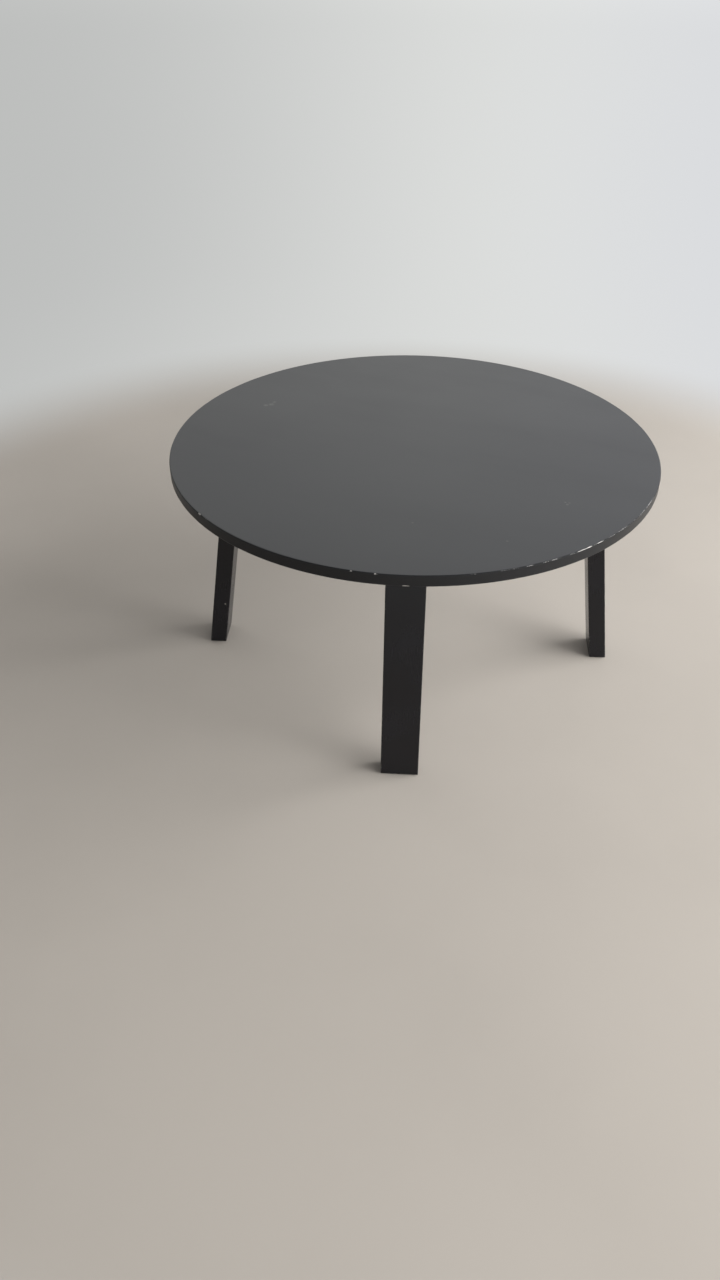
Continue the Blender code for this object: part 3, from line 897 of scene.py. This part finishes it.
@dataclass
class PlankLegs:
    """The four legs: leaning planks with eased edges, a counterbore for the bolt, a pocket for the glide.

    corner_wear, foot_wear and shin_wear are the distances over which wear fades from a corner, from the foot
    and up the leg. High up, corners keep high_share of it, and the foot's edge has foot_share. foot_draw is
    the share of the edge radius by which the section draws in at the foot.
    """

    splay: float = math.radians(8.0)
    thickness: float = 0.029
    edge_radius: float = 0.0015
    clearance: float = 0.0003
    bore_radius: float = 0.0083
    bore_depth: float = 0.0033
    bore_chamfer: float = 0.0003
    bore_ease: float = 0.0002
    bore_cells: int = 20
    bore_ring: int = 8
    pocket_lip: float = 0.0002
    foot_draw: float = 0.93
    arc_columns: int = 9
    side_columns: int = 9
    inner_columns: int = 25
    foot_rows: int = 9
    shank_rows: int = 34
    top_row: float = 0.001
    support: tuple[float, ...] = (0.0004, 0.0012, 0.003)
    grain_shift: float = 0.37
    corner_wear: float = 0.0006
    foot_wear: float = 0.0028
    shin_wear: float = 0.09
    high_share: float = 0.45
    foot_share: float = 0.9

    def __post_init__(self) -> None:
        """Takes the leg's sizes, the bolt's level and the pocket from the CAD leg, rail and glide on +X."""
        low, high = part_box("right_leg")
        rail_low, rail_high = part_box("left_right_rail")
        glide_low, glide_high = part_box("right_glide")
        self.half_width = (high.y - low.y) / 2
        self.low, self.high = low.z, high.z
        self.run = self.thickness / math.cos(self.splay)
        self.top_reach = low.x + self.run
        self.bolt_level = (rail_low.z + rail_high.z) / 2
        self.bore_level = self.bolt_level + self.thickness * math.sin(self.splay)
        self.pocket_radius = (glide_high.x - glide_low.x) / 2 + self.clearance
        self.pocket_depth = glide_high.z + self.clearance - low.z

    def outer_face(self, level: Array | float) -> Array | float:
        """Distance from the table's axis to the outer face at a height."""
        return self.top_reach + (self.high - level) * math.tan(self.splay)

    def joint(self, along_leg: float = 0.0) -> Matrix:
        """The joint's frame in the right arm: +Z square to the leg and outwards, -X up the leg.

        Args:
            along_leg: how far the frame is moved up the leg from the bolt.

        Returns:
            The frame, which starts on the leg's inner face.
        """
        inner = self.outer_face(self.bolt_level) - self.run
        middle = Matrix.Translation((inner, 0.0, self.bolt_level))
        lean = Matrix.Rotation(QUARTER - self.splay, 4, "Y")
        return middle @ lean @ Matrix.Translation((-along_leg, 0.0, 0.0))

    def window(self) -> float:
        """Half the width of the square of cells on the outer face that is warped round the counterbore."""
        return self.bore_radius * self.bore_cells / self.bore_ring

    def outline(self) -> tuple[Array, Array, Array]:
        """A level section of the leg, counter-clockwise from the middle of its inner face.

        Returns:
            Core points (outwards, across) from the section's middle, the normals' angles, and the distance
            of each point to the nearest corner. The section is the core plus the edge radius along the
            normal.
        """
        deep, wide = self.run / 2 - self.edge_radius, self.half_width - self.edge_radius
        window, support = self.window(), np.array(self.support)
        middle = np.linspace(-window, window, 2 * self.bore_cells + 1)
        outer = np.concatenate([support - wide, middle, wide - support[::-1]])
        side = eased_steps(2 * deep, self.support, self.side_columns) - deep
        inner = (eased_steps(2 * wide, self.support, self.inner_columns) - wide)[::-1]
        flats = [
            stacked(-deep, inner[inner < -TINY], 2 * QUARTER), stacked(side, -wide, 3 * QUARTER),
            stacked(deep, outer, ROUND), stacked(side[::-1], wide, 5 * QUARTER),
            stacked(-deep, inner[inner > -TINY], 6 * QUARTER),
        ]
        corners = np.array([(-deep, -wide), (deep, -wide), (deep, wide), (-deep, wide)])
        arc = np.linspace(0.0, QUARTER, self.arc_columns)
        rounds = [stacked(*corner, flat[0, 2] + arc) for corner, flat in zip(corners, flats)]
        rows = np.concatenate([run for pair in zip(flats, rounds) for run in pair] + flats[-1:])
        core = rows[:, :2]
        return core, rows[:, 2], np.linalg.norm(core[:, None] - corners, axis=-1).min(axis=1)

    def levels(self) -> Array:
        """The rows from the top down to the foot and up into the glide's pocket.

        Through the fillet at the foot, an angle runs from 0 to a quarter turn: the section draws in by just
        under the radius times (1 - cos), which keeps its corners open, and stands at the radius times
        (1 - sin) above the foot.

        Returns:
            Four lines, each with a number for every row: its height, how far the section draws in for the
            eased foot, how much of it has turned into the pocket's circle, and the circle's size as a share
            of the pocket's.
        """
        window = self.window() * math.cos(self.splay)
        eased = self.low + self.edge_radius
        bore = np.linspace(self.bore_level + window, self.bore_level - window, 2 * self.bore_cells + 1)
        shank = np.linspace(bore[-1], eased + self.support[-1], self.shank_rows)[1:]
        supports = eased + np.array(self.support[:-1])[::-1]
        plain = np.concatenate([[self.high, self.high - self.top_row], bore, shank, supports])
        angle = np.linspace(0.0, QUARTER, self.foot_rows)
        foot = self.low + self.edge_radius * (1.0 - np.sin(angle))
        drawn_in = self.foot_draw * self.edge_radius
        deep, lip = self.pocket_depth, self.pocket_lip
        # The section turns into the circle over three rows under the foot, and the rest lines the pocket.
        height, share, size = np.array([
            (0.0, 0.4, 1.0), (0.0, 0.8, 1.0), (0.0, 1.0, 1.03), (lip, 1.0, 1.0), (deep - lip, 1.0, 1.0),
            (deep, 1.0, 0.97), (deep, 1.0, 0.5),
        ]).T
        return np.concatenate([
            stacked(plain, 0.0, 0.0, 1.0), stacked(foot, drawn_in * (1.0 - np.cos(angle)), 0.0, 1.0),
            stacked(self.low + height, drawn_in, share, size),
        ]).T

    def bored(self, across: Array, along: Array, on_outer: Array) -> tuple[Array, Array, Array]:
        """Warps the square of cells on the outer face into rings round the bolt, and sinks the inner rings.

        A cell's ring is the larger of its two distances from the middle. Inside the counterbore, the ring
        becomes a circle of the ring's radius. Outside, it turns back into a square towards the last ring.

        Args:
            across: distances from the bolt across the leg.
            along: distances from the bolt up the leg.
            on_outer: which points lie on the outer face.

        Returns:
            The new distances across and along, and the depth below the face.
        """
        window, wall, lip = self.window(), self.bore_radius, self.bore_ring
        u, v = across / window, along / window
        ring = np.maximum(np.abs(u), np.abs(v))
        inside = on_outer & (ring < 1.0 - TINY)
        count = ring * self.bore_cells
        radius = np.interp(
            count, [0, lip - 3, lip - 2, lip - 1, lip, self.bore_cells],
            [0.0, 0.8 * wall, wall - self.bore_ease, wall, wall + self.bore_chamfer, window],
        )
        depth = np.interp(
            count, [0, lip - 2, lip - 1, lip], [self.bore_depth, self.bore_depth, self.bore_chamfer, 0.0],
        )
        square = smooth_step(count, lip, self.bore_cells)
        stretch = (1.0 - square) * radius / np.maximum(np.hypot(u, v), TINY) + square * window
        warped = [np.where(inside, unit * stretch, flat) for unit, flat in ((u, across), (v, along))]
        return *warped, np.where(inside, depth, 0.0)

    def surface(self, side: Side) -> Surface:
        """One leg in the right arm's frame: the section carried down the lean, then bored for the bolt.

        Under the foot, the section turns into the pocket's circle along the bearings of its own points. The
        grain vector runs along, across and into the plank, shifted by side so that no two legs match.

        Args:
            side: the side whose leg it is.

        Returns:
            The leg's surface, with its grain and edge values.
        """
        lean, fall = math.cos(self.splay), math.sin(self.splay)
        core, turn, gap = self.outline()
        level, inset, share, size = (line[:, None, None] for line in self.levels())
        section = rounded(core, turn, self.edge_radius - inset)
        bearing = np.arctan2(section[-1, :, 1], section[-1, :, 0])
        circle = self.pocket_radius * stacked(np.cos(bearing), np.sin(bearing))
        section = (1.0 - share) * section + share * size * circle
        in_foot = share[..., 0] > 0.0
        along = (level[..., 0] - self.bore_level) / lean
        across, along, depth = self.bored(section[..., 1], along, np.abs(turn - ROUND) < TINY)
        height = self.bore_level + along * lean
        middle = self.outer_face(np.where(in_foot, self.low, height)) - self.run / 2
        points = stacked(middle + section[..., 0] - depth * lean, across, height - depth * fall)
        shift = self.grain_shift * (1 + list(Side).index(side))
        grain = stacked(along + shift, across + shift, section[..., 0] + 0.5 * shift)
        up = height - self.low
        upright = self.high_share + (1.0 - self.high_share) * np.exp(-up / self.shin_wear)
        corner = upright * np.exp(-((gap / self.corner_wear) ** 2))
        edge = np.maximum(corner, self.foot_share * np.exp(-((up / self.foot_wear) ** 2)))
        return Surface(points, {"grain": grain, "edge": np.where((depth > 0.0) | in_foot, 0.0, edge)})

    def dress(self, finish: Finish) -> None:
        """Makes the four legs' pieces."""
        for side in Side:
            leg = self.surface(side).moved(side.turn)
            leg.hand_over(f"{side.word}_plank", finish, "leg_lacquer", f"{side.word}_leg")


@dataclass(frozen=True)
class Fastener:
    """A turned screw or bolt about +Z, its point up or down the axis and its head at the other end.

    A recess is sunk into the head, its middle a dip deeper, its mouth eased by a lip. recess_rows are the
    sizes of its rows as shares of its outline. A thread waves the shank's radius, with thread_rows rows to a
    pitch and its flanks between two shares of a pitch from the middle of its groove.
    """

    drive: Drive
    recess_width: float
    recess_depth: float
    pitch: float
    thread_depth: float
    recess_dip: float = 0.0002
    recess_lip: float = 0.00012
    recess_rows: tuple[float, ...] = (0.4, 0.94, 0.98, 1.05)
    arm_share: float = 0.42
    thread_rows: float = 7.0
    thread_flanks: tuple[float, float] = (0.05, 0.42)
    columns: int = 48

    def recess_radius(self, bearing: Array) -> Array:
        """Radius of the recess's outline.

        A hexagon's is half its width over the cosine of the angle to the nearest flat's middle. A cross's is
        the nearer of an arm's end, half the width / cos, and an arm's side, a share of that half / sin.

        Args:
            bearing: bearings round the axis in radians.

        Returns:
            The radius at each bearing.
        """
        sector = ROUND / self.drive.value
        folded = np.abs((bearing + sector / 2) % sector - sector / 2)
        half = self.recess_width / 2
        if self.drive is Drive.HEXAGON:
            return half / np.cos(folded)
        return np.minimum(half / np.cos(folded), half * self.arm_share / np.maximum(np.sin(folded), 1e-6))

    def surface(self, outline: Array, thread: tuple[float, float]) -> Surface:
        """Turns an outline about Z, with the recess sunk into the head and the thread cut along the shank.

        The thread takes its depth off the radius where the height in pitches, less the bearing in turns, is
        half way between two whole numbers, and fades over a pitch at both ends.

        Args:
            outline: (radius, height) from the head's flat face to the point, head first.
            thread: heights between which the thread runs, the lower one first.

        Returns:
            The closed surface, whose head may face up or down.
        """
        low, high = thread
        head = outline[0, 1]
        inwards = np.sign(outline[-1, 1] - head)
        bearing = full_round(self.columns)
        sunk = np.array((self.recess_depth + self.recess_dip, self.recess_depth, self.recess_lip, 0.0))
        recess = np.outer(self.recess_rows, self.recess_radius(bearing))
        plain = outline[(outline[:, 1] < low) | (outline[:, 1] > high)]
        turns = np.arange(low, high, self.pitch / self.thread_rows)
        shank = np.interp(turns, *outline[np.argsort(outline[:, 1], kind="stable")][:, ::-1].T)
        body = np.concatenate([plain, stacked(shank, turns)])
        body = body[np.argsort(inwards * body[:, 1], kind="stable")]
        radius, level = body[:, :1], body[:, 1:]
        phase = (level / self.pitch - bearing / ROUND) % 1.0
        cut = 1.0 - smooth_step(np.abs(phase - 0.5), *self.thread_flanks)
        fade = smooth_step(level, low, low + self.pitch) * smooth_step(-level, -high, self.pitch - high)
        radius = np.concatenate([recess, np.maximum(radius - self.thread_depth * cut * fade, NICK)])
        level = np.concatenate([(head + inwards * sunk)[:, None], level])
        points = revolved(radius, level, bearing)
        return Surface(points if inwards < 0.0 else points[:, ::-1])


def pointed(radius: float, start: float, taper: float, end: float) -> Array:
    """A wood screw's shank, pointing up.

    Args:
        radius: radius of the shank.
        start: height at which the thread starts.
        taper: length of the tapered end.
        end: height of the point.

    Returns:
        Points as (radius, height), from just under the thread's start to the point.
    """
    tip = [(3 * NICK, end - 2 * NICK), (NICK, end)]
    return np.array([(radius, start - NICK), (radius, end - taper), *tip])


@dataclass
class JointHardware:
    """What holds a leg on its rail: a flat-headed bolt in a barrel nut, and two fluted dowels.

    Heights run along the joint's frame. head_ring is the radius of a row of points on the head's flat face.
    """

    legs: PlankLegs
    bolt_form: Fastener = Fastener(Drive.HEXAGON, 0.004, 0.0015, 0.001, 0.00045)
    bolt_radius: float = 0.003
    bolt_end: float = -0.039
    bolt_chamfer: float = 0.0005
    thread_length: float = 0.030
    head_radius: float = 0.008
    head_height: float = 0.0025
    head_recess: float = 0.0005
    head_ease: float = 0.0005
    head_ring: float = 0.0042
    dowel_radius: float = 0.004
    dowel_ends: tuple[float, float] = (0.016, -0.024)
    dowel_chamfer: float = 0.0008
    dowel_edge: float = 0.0125
    flutes: int = 18
    flute_columns: int = 6
    flute_depth: float = 0.00022

    def bolt(self) -> Surface:
        """A bolt in the joint's frame: a low turned head with a hexagon recess, and a thread at its end.

        Returns:
            The bolt's surface.
        """
        top = self.legs.thickness - self.head_recess
        under = top - self.head_height
        thread = (self.bolt_end + self.bolt_chamfer, self.bolt_end + self.thread_length)
        head, shank = self.head_radius, self.bolt_radius
        outline = np.concatenate([
            [(self.head_ring, top)], round_over(head, top, self.head_ease, -1.0),
            [(head, under + NICK), (head - NICK, under), (shank + 2 * NICK, under)],
            [(shank, under - 2 * NICK), (shank, thread[1] + 2 * NICK), (shank, thread[0])],
            [(shank - self.bolt_chamfer, self.bolt_end)],
        ])
        return self.bolt_form.surface(outline, thread)

    def dowel(self) -> Surface:
        """A dowel in its own joint's frame: a rod whose radius dips with |cos| of the bearing at each flute.

        Returns:
            The dowel's surface, with its grain value.
        """
        upper, lower = self.dowel_ends
        radius = self.dowel_radius - self.dowel_chamfer * np.array((1.0, 0.3, 0.0, 0.0, 0.0, 0.3, 1.0))
        drop = self.dowel_chamfer * np.array((0.0, 0.4, 1.0))
        level = np.concatenate([upper - drop, [(upper + lower) / 2], lower + drop[::-1]])
        bearing = full_round(self.flutes * self.flute_columns)
        dip = self.flute_depth * (1.0 - np.abs(np.cos(bearing * self.flutes / 2))) ** 2
        points = revolved(radius[:, None] - dip, level[:, None], bearing)
        return Surface(points, {"grain": points[..., [2, 0, 1]]})

    def dress(self, steel: Finish, zinc: Finish, beech: Finish) -> None:
        """Makes the bolts' and dowels' pieces, and gives the CAD barrel nuts their plate.

        Args:
            steel: the finish of the bolts.
            zinc: the finish of the barrel nuts.
            beech: the finish of the dowels.
        """
        low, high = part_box("left_right_rail")
        reach = (high.z - low.z) / 2 - self.dowel_edge
        for side in Side:
            bolt = self.bolt().moved(side.turn @ self.legs.joint())
            bolt.hand_over(f"{side.word}_bolt", steel, "blackened_steel", f"{side.word}_leg_bolt")
            for word, offset in (("lower", -reach), ("upper", reach)):
                dowel = self.dowel().moved(side.turn @ self.legs.joint(offset))
                name = f"{side.word}_{word}"
                dowel.hand_over(f"{name}_fluted_dowel", beech, "beech", f"{name}_dowel")
            refinish(f"{side.word}_barrel_nut", zinc)


@dataclass
class CrossRails:
    """The two half-lapped rails, kept from the CAD, and the pan-headed screws through them into the top."""

    screw_form: Fastener = Fastener(Drive.HEXAGON, 0.003, 0.0014, 0.0018, 0.00055)
    head_height: float = 0.0026
    head_ease: float = 0.0013
    head_rows: int = 8
    head_ring: float = 0.0022
    shank_radius: float = 0.002
    plain_shank: float = 0.004
    thread_end: float = 0.001
    taper: float = 0.005

    def screw(self, node: str) -> Surface:
        """A screw pointing up: a domed head with a hexagon recess, and a coarse thread.

        Args:
            node: the CAD screw whose place and length it takes.

        Returns:
            The screw's surface in its place.
        """
        low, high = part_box(node)
        head, shank = (high.x - low.x) / 2, self.shank_radius
        seat = low.z + self.head_height
        thread = (seat + self.plain_shank, high.z - self.thread_end)
        outline = np.concatenate([
            [(self.head_ring, low.z)], round_over(head, low.z, self.head_ease, 1.0, self.head_rows),
            [(head, seat - NICK), (head - NICK, seat), (shank, seat + NICK)],
            pointed(shank, thread[0], self.taper, high.z),
        ])
        return self.screw_form.surface(outline, thread).moved(over(node))

    def dress(self, finish: RailLacquer, zinc: Finish) -> None:
        """Lacquers the CAD rails along their grain, and makes the screws' pieces.

        Args:
            finish: the rails' lacquer.
            zinc: the finish of the screws.
        """
        for node, degrees in (("left_right_rail", 0.0), ("front_back_rail", 90.0)):
            refinish(node, finish.material(f"{node}_lacquer", degrees))
        for name in (f"{side.word}_{word}" for side in Side for word in ("inner", "outer")):
            node = f"{name}_top_screw"
            self.screw(node).hand_over(f"{name}_pan_screw", zinc, "zinc_plated_steel", node)


@dataclass
class FootGlides:
    """The round nylon glides under the feet, each held by a countersunk cross-recess screw."""

    screw_form: Fastener = Fastener(Drive.CROSS, 0.0038, 0.0013, 0.0014, 0.0005)
    ease: float = 0.0008
    upper_ease: float = 0.0003
    upper_rows: int = 4
    border: float = 0.0004
    clearance: float = 0.0003
    columns: int = 96
    screw_head: float = 0.0035
    screw_shank: float = 0.00175
    screw_recess: float = 0.0006
    head_ring: float = 0.0024
    head_nick: float = 0.00008
    plain_shank: float = 0.002
    thread_end: float = 0.001
    taper: float = 0.004

    def glide(self) -> Surface:
        """The right foot's glide: a ring whose section is eased outside and slopes in to the screw's hole.

        Returns:
            The glide's surface in its place.
        """
        low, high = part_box("right_glide")
        radius, height = (high.x - low.x) / 2, high.z - low.z
        mouth, hole = self.screw_head + self.clearance, self.screw_shank + self.clearance
        section = np.concatenate([
            [(mouth, 0.0), (mouth + self.border, 0.0), (radius - self.ease - self.border, 0.0)],
            round_over(radius, 0.0, self.ease, 1.0),
            round_over(radius, height, self.upper_ease, -1.0, self.upper_rows)[::-1],
            [(hole + self.border, height), (hole, height)],
            [(hole, self.screw_recess + mouth - hole), (mouth, self.screw_recess)],
        ])
        points = revolved(section[:, :1], section[:, 1:] + low.z, -full_round(self.columns))
        return Surface(points, ends=Ends.JOINED).moved(over("right_glide"))

    def screw(self) -> Surface:
        """The right foot's screw, pointing up: a countersunk head with a cross recess, and a coarse thread.

        Returns:
            The screw's surface in its place.
        """
        low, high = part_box("right_glide_screw")
        head, shank, nick = self.screw_head, self.screw_shank, self.head_nick
        neck = low.z + head - shank
        thread = (neck + self.plain_shank, high.z - self.thread_end)
        outline = np.concatenate([
            [(self.head_ring, low.z), (head - nick, low.z), (head, low.z + nick), (shank, neck)],
            pointed(shank, thread[0], self.taper, high.z),
        ])
        return self.screw_form.surface(outline, thread).moved(over("right_glide_screw"))

    def dress(self, nylon: Finish, zinc: Finish) -> None:
        """Makes the glides' and their screws' pieces under the four feet.

        Args:
            nylon: the finish of the glides.
            zinc: the finish of the screws.
        """
        for side in Side:
            name = side.word
            glide, screw = self.glide().moved(side.turn), self.screw().moved(side.turn)
            glide.hand_over(f"{name}_foot_glide", nylon, "black_nylon", f"{name}_glide")
            screw.hand_over(f"{name}_foot_screw", zinc, "zinc_plated_steel", f"{name}_glide_screw")


@dataclass(frozen=True)
class Softbox:
    """A rectangular lamp with a soft face: its place, its two sides, its power in watts and its target."""

    name: str
    place: Place
    size: tuple[float, float]
    power: float
    target: Place = (0.0, 0.0, 0.3)

    def build(self) -> None:
        """Adds the lamp, which shows neither to the camera nor as a glare in the lacquer."""
        lamp = bpy.data.lights.new(self.name, "AREA")
        lamp.shape = "RECTANGLE"
        lamp.size, lamp.size_y = self.size
        lamp.energy = self.power
        made = bpy.data.objects.new(self.name, lamp)
        made.location = self.place
        made.rotation_euler = (Vector(self.target) - Vector(self.place)).to_track_quat("-Z", "Y").to_euler()
        made.visible_camera = False
        made.visible_glossy = False
        bpy.context.scene.collection.objects.link(made)


@dataclass
class Studio:
    """A pale floor inside a round backdrop, with soft lamps: warm grey floor, near-white wall.

    The wall's glow is painted light. It rises from painted_glow_left to 1 across wall_span and from
    painted_glow_low to 1 up wall_rise, which is painted shade on the left and low down.
    It turns to painted_cool_glow on the right, a painted cool tint of daylight. It starts between the two
    distances of glow_span. The world's fill falls from horizon to zenith over fill_fall.
    """

    floor_radius: float = 2.25
    floor_middle: float = 0.02
    floor_depth: float = 0.05
    floor_rows: int = 12
    cove: float = 0.45
    cove_rows: int = 17
    wall_height: float = 3.4
    wall_rows: int = 8
    columns: int = 128
    floor: Colour = (0.525, 0.482, 0.432)
    wall: Colour = (0.985, 1.0, 0.985)
    # Painted light: the glow turns to this cooler white on the right, a painted cool tint of daylight.
    painted_cool_glow: Colour = (0.955, 0.972, 1.0)
    cool_span: tuple[float, float] = (0.0, 1.2)
    # Painted shade: the glow is weaker on the left (painted_glow_left) and low down (painted_glow_low) than
    # on the right and higher up.
    painted_glow_left: float = 0.70
    wall_span: tuple[float, float] = (-1.6, 0.6)
    painted_glow_low: float = 0.74
    wall_rise: tuple[float, float] = (0.7, 1.3)
    glow_span: tuple[float, float] = (1.15, 1.60)
    horizon: float = 0.925
    zenith: float = 0.0
    fill_fall: tuple[float, float] = (0.45, 0.8)
    bright_side: float = math.radians(36.0)
    slant: float = 0.73
    lamps: tuple[Softbox, ...] = (
        Softbox("right_high", (3.36, -0.28, 1.98), (4.48, 3.36), 124.0),
        Softbox("right_low", (3.5, -0.14, 0.72), (3.36, 1.4), 155.0),
        Softbox("right_front", (2.66, -2.1, 1.56), (2.52, 2.24), 32.0),
        Softbox("left_back", (-2.66, 2.1, 1.7), (2.8, 2.24), 12.7),
    )

    def turned(self, section: Array, ends: Ends) -> Surface:
        """A line of (distance, height) turned about +Z, with its faces up and inwards."""
        return Surface(revolved(section[:, :1], section[:, 1:], full_round(self.columns)), ends=ends)

    def paint(self) -> Finish:
        """Matt, faintly mottled paint that turns, away from the table, into a glow of painted light.

        Returns:
            The material, whose glow is seen and mirrored but lights nothing: painted light, graded brighter
            to the right and up.
        """
        graph = NodeGraph("studio_paint")
        point = graph.place()
        place = graph.node("SeparateXYZ", {0: point}).outputs
        path = graph.node("LightPath", {}).outputs
        mottle = graph.step(graph.noise(point, 2.4, 4.0), 0.35, 0.7)
        near = graph.near(point, (0.0, 0.0, 0.0), *self.glow_span)
        # Painted light: the glow is graded brighter towards the right and higher up, and tinted cooler on
        # the right.
        across = graph.step(place["X"], *self.wall_span, self.painted_glow_left, 1.0)
        bright = graph.times(across, graph.step(place["Z"], *self.wall_rise, self.painted_glow_low, 1.0))
        tint = graph.blend(graph.step(place["X"], *self.cool_span), self.wall, self.painted_cool_glow)
        glow = graph.add("Emission", {"Color": tint, "Strength": bright})
        seen = graph.math("MAXIMUM", path["Is Camera Ray"], path["Is Glossy Ray"])
        share = graph.times(seen, graph.math("SUBTRACT", 1.0, near))
        mixed = graph.add("MixShader", {0: share, 1: graph.shader.outputs[0], 2: glow})
        graph.feed(graph.nodes["Material Output"].inputs["Surface"], mixed)
        colour = graph.blend(mottle, self.floor, scaled(self.floor, 0.96))
        return graph.finished(colour, graph.step(mottle, 0.0, 1.0, 0.78, 0.86), Specular_IOR_Level=0.2)

    def fill(self) -> bpy.types.World:
        """The world's white fill, brighter near the horizon than overhead, and more so on the bright side.

        Returns:
            The world, whose strength is the fall from horizon to zenith times 1 plus the slant times the
            cosine to the bright side.
        """
        graph = NodeGraph("studio_fill", world=True)
        direction = graph.add("TexCoord", {}, "Generated")
        height = graph.add("SeparateXYZ", {0: direction}, "Z")
        slope = (math.cos(self.bright_side) * self.slant, math.sin(self.bright_side) * self.slant, 0.0)
        lean = graph.add("VectorMath", {0: direction, 1: slope}, "Value", operation="DOT_PRODUCT")
        fall = graph.step(height, *self.fill_fall, self.horizon, self.zenith)
        graph.feed(graph.shader.inputs["Color"], (1.0, 1.0, 1.0, 1.0))
        graph.feed(graph.shader.inputs["Strength"], graph.times(fall, graph.math("ADD", lean, 1.0)))
        return graph.owner

    def build(self) -> None:
        """Makes the floor, the backdrop, the lamps and the world's fill."""
        paint = self.paint()
        spread = np.linspace(self.floor_middle, self.floor_radius, self.floor_rows)
        slab = np.concatenate([stacked(spread, 0.0), stacked(spread[::-1], -self.floor_depth)])
        angle = np.linspace(0.0, QUARTER, self.cove_rows)
        upright = np.linspace(self.cove, self.wall_height, self.wall_rows)[1:]
        sweep = np.concatenate([
            stacked(self.floor_radius + self.cove * np.sin(angle), self.cove * (1.0 - np.cos(angle))),
            stacked(self.floor_radius + self.cove, upright),
        ])
        floor = self.turned(slab, Ends.CAPPED).piece("studio_floor", paint)
        wall = self.turned(sweep, Ends.OPEN).piece("studio_wall", paint)
        wall.visible_diffuse = False
        wall.visible_shadow = False
        for lamp in self.lamps:
            lamp.build()
        bpy.context.scene.world = self.fill()
        bpy.context.scene.view_settings.view_transform = "Standard"
        log.info("studio: floor, wall and %d lamps", len(self.lamps))


@dataclass(frozen=True)
class PhotoCamera:
    """The camera's place and turn, fitted to the photograph's edges, for an image 720 by 1280 pixels."""

    place: Place = (0.0188, -1.6055, 1.1736)
    yaw: float = 3.793
    pitch: float = 36.210
    roll: float = 0.189
    focal_pixels: float = 1057.4
    long_side: float = 1280.0
    sensor: float = 36.0

    def build(self) -> None:
        """Adds the camera: turned by roll, tipped down by pitch and turned left by yaw, in that order."""
        camera = bpy.data.cameras.new("photo_camera")
        camera.sensor_width = self.sensor
        camera.lens = self.focal_pixels * self.sensor / self.long_side
        made = bpy.data.objects.new("photo_camera", camera)
        roll, pitch, yaw = (math.radians(angle) for angle in (self.roll, 90.0 - self.pitch, self.yaw))
        turn = Matrix.Rotation(yaw, 4, "Z") @ Matrix.Rotation(pitch, 4, "X") @ Matrix.Rotation(roll, 4, "Z")
        made.matrix_world = Matrix.Translation(self.place) @ turn
        bpy.context.scene.collection.objects.link(made)
        bpy.context.scene.camera = made


def main() -> None:
    """Builds the table's pieces in order, then the studio and the camera."""
    logging.basicConfig(level=logging.INFO, format="%(name)s: %(message)s")
    zinc = PlatedSteel("zinc_plate", (0.43, 0.435, 0.45), tint=(0.38, 0.37, 0.34), gloss=0.44).material()
    black = PlatedSteel("black_plate", (0.04, 0.04, 0.043), tint=(0.062, 0.06, 0.058), gloss=0.4).material()
    # Painted light and shade: face and rim are copies of one lacquer. The face's lighter film and haze are
    # partly dust and partly painted light on the top. The rim's darker film and haze and its low specular
    # are painted shade.
    face = BoardLacquer(
        "top_lacquer_worn_lit", (0.019, 0.0195, 0.0225), haze=(0.026, 0.0266, 0.03), gloss=0.34, specular=0.72,
    )
    rim = BoardLacquer(
        "rim_lacquer_worn_shaded", (0.0172, 0.0172, 0.018), haze=(0.0182, 0.0182, 0.019), gloss=0.4, specular=0.18,
    )
    RoundTop().dress(face.material(), rim.material())
    legs = PlankLegs()
    legs.dress(PlankLacquer().material("grain"))
    JointHardware(legs).dress(black, zinc, BareBeech().material("grain"))
    CrossRails().dress(RailLacquer(), zinc)
    FootGlides().dress(MouldedNylon().material(), zinc)
    Studio().build()
    PhotoCamera().build()


if __name__ == "__main__":
    main()
